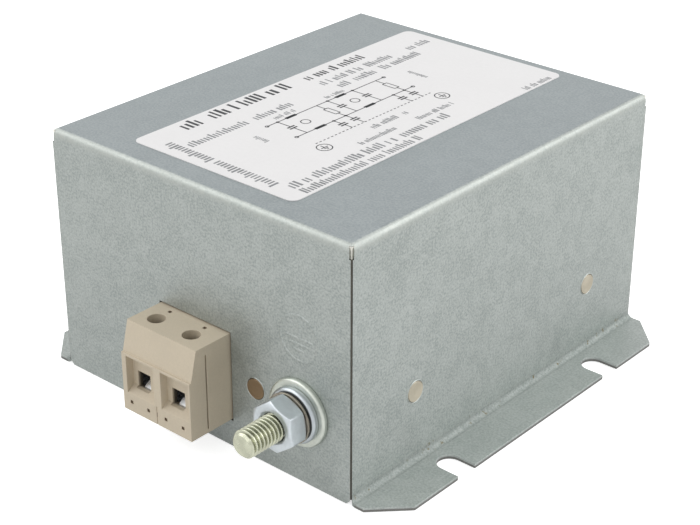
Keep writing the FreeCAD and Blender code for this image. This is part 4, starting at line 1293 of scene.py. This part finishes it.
def diagram(sizes):
    """The printed circuit: two lines with chokes, parts between them, and parts to a dotted third line.

    It is gathered as flat strokes, each a place plus and minus half its width, and as rings.
    """
    shape = Shape()
    half = sizes.print_line / MM / 2
    strokes = []

    def along(v, start, end, reach=half):
        """A stroke along the label, at a place across it."""
        strokes.append((start, end, v - reach, v + reach))

    def across(u, start, end):
        """A stroke across the label, at a place along it."""
        strokes.append((u - half, u + half, start, end))

    def ring(u, v, radius, line=2 * half):
        """A ring round a place, or a disc where the line is as wide as the radius."""
        printed_ring(shape, u, v, radius, line, sizes.print_height)

    for v in (UPPER_LINE, LOWER_LINE):
        along(v, DIAGRAM_START, DIAGRAM_END)
    for u in np.arange(DIAGRAM_START, DIAGRAM_END, DOT_STEP):
        along(DOTTED_LINE, u, u + DOT_STEP / 2)
    for u in CHOKE_PLACES:
        for v in (UPPER_LINE, LOWER_LINE):
            along(v, u - CHOKE_LONG / 2, u + CHOKE_LONG / 2, CHOKE_WIDE / 2)
    for u, top, bottom in CAPACITOR_PLACES:
        plates = ((top + bottom) / 2 - PLATE_GAP, (top + bottom) / 2 + PLATE_GAP)
        across(u, top, plates[0])
        across(u, plates[1], bottom)
        for v in plates:
            along(v, u - PLATE_REACH, u + PLATE_REACH, PLATE_BOLD * half)
    for u in RESISTOR_PLACES:
        across(u, UPPER_LINE, RESISTOR_TOP)
        across(u, RESISTOR_END, LOWER_LINE)
        for side in (u - RESISTOR_HALF, u + RESISTOR_HALF):
            across(side, RESISTOR_TOP, RESISTOR_END)
        for v in (RESISTOR_TOP, RESISTOR_END):
            along(v, u - RESISTOR_HALF, u + RESISTOR_HALF)
    for u, v in EARTH_PLACES:
        across(u, v - EARTH_STEM, v + half)
        for wide, drop in EARTH_BARS:
            along(v + drop, u - wide, u + wide)
        ring(u, v, EARTH_RING)
    printed(shape, strokes, sizes.print_height)
    for u in CHOKE_PLACES:
        ring(u, (UPPER_LINE + LOWER_LINE) / 2, CORE_RING)
    for u in (DIAGRAM_START, DIAGRAM_END):
        for v in (UPPER_LINE, LOWER_LINE):
            ring(u, v, END_RING)
    for u, top, _ in CAPACITOR_PLACES:
        ring(u, top, JOINT_DOT, JOINT_DOT)
    return shape


class BoardPieces(bpy.types.Operator):
    """Finish the circuit board, its posts and the insulating liner"""
    bl_idname = "line_filter.board"
    bl_label = "Board"

    def execute(self, context):
        colors = context.scene.filter_colors
        dress("circuit_board", laminate_finish(colors))
        dress("board_posts", moulded("natural nylon", colors.nylon, specular=0.5))
        dress("insulating_liner", moulded("liner film", colors.liner, roughness=0.35))
        return {"FINISHED"}


class CapacitorPieces(bpy.types.Operator):
    """Finish the capacitors and the discharge resistor"""
    bl_idname = "line_filter.capacitors"
    bl_label = "Capacitors"

    def execute(self, context):
        colors = context.scene.filter_colors
        yellow = moulded("capacitor case", colors.capacitor, roughness=0.3, specular=0.5)
        for node in ("x_capacitor_line", "x_capacitor_middle", "x_capacitor_load", "y_capacitors"):
            dress(node, yellow)
        dress("small_y_capacitors", moulded("small capacitor case", colors.small_capacitor, roughness=0.3))
        dress("discharge_resistor", moulded("resistor lacquer", colors.resistor, roughness=0.25))
        return {"FINISHED"}


class ChokePieces(bpy.types.Operator):
    """Finish the chokes: cores, windings, dividers and bases"""
    bl_idname = "line_filter.chokes"
    bl_label = "Chokes"

    def execute(self, context):
        colors = context.scene.filter_colors
        dress("choke_cores", moulded("ferrite", colors.ferrite, roughness=0.6, variation=0.12))
        dress("choke_windings", wire_finish(colors))
        dress("choke_dividers", fibre_finish(colors))
        dress("choke_bases", moulded("base plastic", colors.choke_base, roughness=0.5, variation=0.1))
        return {"FINISHED"}


def split_by_ray(tree, lit, shown, output):
    """Gives camera, glossy and transmission rays the shown shader, and all others the lit one."""
    rays = tree.nodes.new("ShaderNodeLightPath").outputs
    seen = arithmetic(tree, "MAXIMUM", rays["Is Camera Ray"], rays["Is Glossy Ray"])
    seen = arithmetic(tree, "MAXIMUM", seen, rays["Is Transmission Ray"])
    mix = tree.nodes.new("ShaderNodeMixShader")
    tree.links.new(seen, mix.inputs["Fac"])
    tree.links.new(lit, mix.inputs[1])
    tree.links.new(shown, mix.inputs[2])
    tree.links.new(mix.outputs["Shader"], output.inputs["Surface"])
    return rays["Is Camera Ray"]


def lamp(name, power, size, place):
    """A square area lamp at a place, turned to the middle of the object."""
    light = bpy.data.lights.new(name, "AREA")
    light.energy = power
    light.size = size
    fixture = bpy.data.objects.new(name, light)
    bpy.context.scene.collection.objects.link(fixture)
    fixture.location = place
    aim = Vector(LOOK_AT) - Vector(place)
    fixture.rotation_euler = aim.to_track_quat("-Z", "Y").to_euler()
    return fixture


class StudioStage(bpy.types.Operator):
    """Set the camera, the pale floor, the lamps and the light from all round"""
    bl_idname = "line_filter.stage"
    bl_label = "Studio"

    def execute(self, context):
        scene = context.scene
        stage = scene.filter_stage
        scene.view_settings.view_transform = "Standard"
        self.add_world(scene, stage)
        floor = self.add_floor()
        lamps = [lamp(name, getattr(stage, power), size, place) for name, power, size, place in LAMPS]
        camera = self.add_camera(scene, stage)
        return {"FINISHED"}

    def add_world(self, scene, stage):
        """Light from all round, which shows plain white behind the object."""
        world = bpy.data.worlds.new("studio")
        world.use_nodes = True
        scene.world = world
        tree = world.node_tree
        dim = tree.nodes["Background"]
        dim.inputs["Color"].default_value = WHITE
        dim.inputs["Strength"].default_value = stage.ambient
        white = tree.nodes.new("ShaderNodeBackground")
        white.inputs["Color"].default_value = WHITE
        white.inputs["Strength"].default_value = 1.0
        split_by_ray(tree, dim.outputs["Background"], white.outputs["Background"],
                     tree.nodes["World Output"])

    def add_floor(self):
        """A wide pale floor just under the flanges, which the camera and glossy rays see brighter."""
        mesh = bpy.data.meshes.new("floor")
        corners = FLOOR_HALF * np.array([[-1, -1, 0], [1, -1, 0], [1, 1, 0], [-1, 1, 0]], float)
        corners[:, 2] = CASE_LOW.z - FLOOR_DROP
        mesh.from_pydata(corners, [], [(0, 1, 2, 3)])
        floor = bpy.data.objects.new("floor", mesh)
        bpy.context.scene.collection.objects.link(floor)
        material = bpy.data.materials.new("pale floor")
        material.use_nodes = True
        tree = material.node_tree
        tree.nodes.remove(tree.nodes["Principled BSDF"])
        diffuse = tree.nodes.new("ShaderNodeBsdfDiffuse")
        diffuse.inputs["Color"].default_value = FLOOR_COLOR
        glow = tree.nodes.new("ShaderNodeEmission")
        both = tree.nodes.new("ShaderNodeAddShader")
        tree.links.new(diffuse.outputs["BSDF"], both.inputs[0])
        tree.links.new(glow.outputs["Emission"], both.inputs[1])
        by_camera = split_by_ray(tree, diffuse.outputs["BSDF"], both.outputs["Shader"],
                                 tree.nodes["Material Output"])
        strength = arithmetic(tree, "MULTIPLY_ADD", by_camera, FLOOR_GLOW - FLOOR_GLOSS, FLOOR_GLOSS)
        tree.links.new(strength, glow.inputs["Strength"])
        mesh.materials.append(material)
        return floor

    def add_camera(self, scene, stage):
        """The camera at the photograph's place and angle."""
        lens = bpy.data.cameras.new("camera")
        lens.lens = stage.lens
        lens.sensor_width = SENSOR
        lens.clip_start = CLIP_START
        camera = bpy.data.objects.new("camera", lens)
        scene.collection.objects.link(camera)
        turn = Matrix.Rotation(stage.turn, 4, "Z") @ Matrix.Rotation(stage.tilt, 4, "X")
        turn = turn @ Matrix.Rotation(stage.roll, 4, "Z")
        camera.matrix_world = Matrix.Translation(stage.place) @ turn
        scene.camera = camera
        return camera


OPERATORS = (CasePieces, RivetPieces, StudPieces, WasherPieces, NutPieces, BlockPieces, LabelPieces,
             BoardPieces, CapacitorPieces, ChokePieces, StudioStage)


class FilterPanel(bpy.types.Panel):
    """Lists the filter's pieces and their sizes and colours"""
    bl_idname = "VIEW3D_PT_line_filter"
    bl_label = "Line filter"
    bl_space_type = "VIEW_3D"
    bl_region_type = "UI"
    bl_category = "Line filter"

    def draw(self, context):
        layout = self.layout
        for operator in OPERATORS:
            layout.operator(operator.bl_idname)
        scene = context.scene
        for group in (scene.filter_sizes, scene.filter_colors, scene.filter_stage):
            box = layout.box()
            for name in group.__annotations__:
                box.prop(group, name)


CLASSES = (FilterSizes, FilterColors, FilterStage) + OPERATORS + (FilterPanel,)


def register():
    """Registers the classes and hangs the settings on the scene."""
    for kind in CLASSES:
        bpy.utils.register_class(kind)
    bpy.types.Scene.filter_sizes = PointerProperty(type=FilterSizes)
    bpy.types.Scene.filter_colors = PointerProperty(type=FilterColors)
    bpy.types.Scene.filter_stage = PointerProperty(type=FilterStage)


def unregister():
    """Takes the settings off the scene and unregisters the classes."""
    del bpy.types.Scene.filter_stage
    del bpy.types.Scene.filter_colors
    del bpy.types.Scene.filter_sizes
    for kind in reversed(CLASSES):
        bpy.utils.unregister_class(kind)


def main():
    """Makes every piece and the studio."""
    register()
    for operator in OPERATORS:
        group, name = operator.bl_idname.split(".")
        getattr(getattr(bpy.ops, group), name)()


if __name__ == "__main__":
    main()
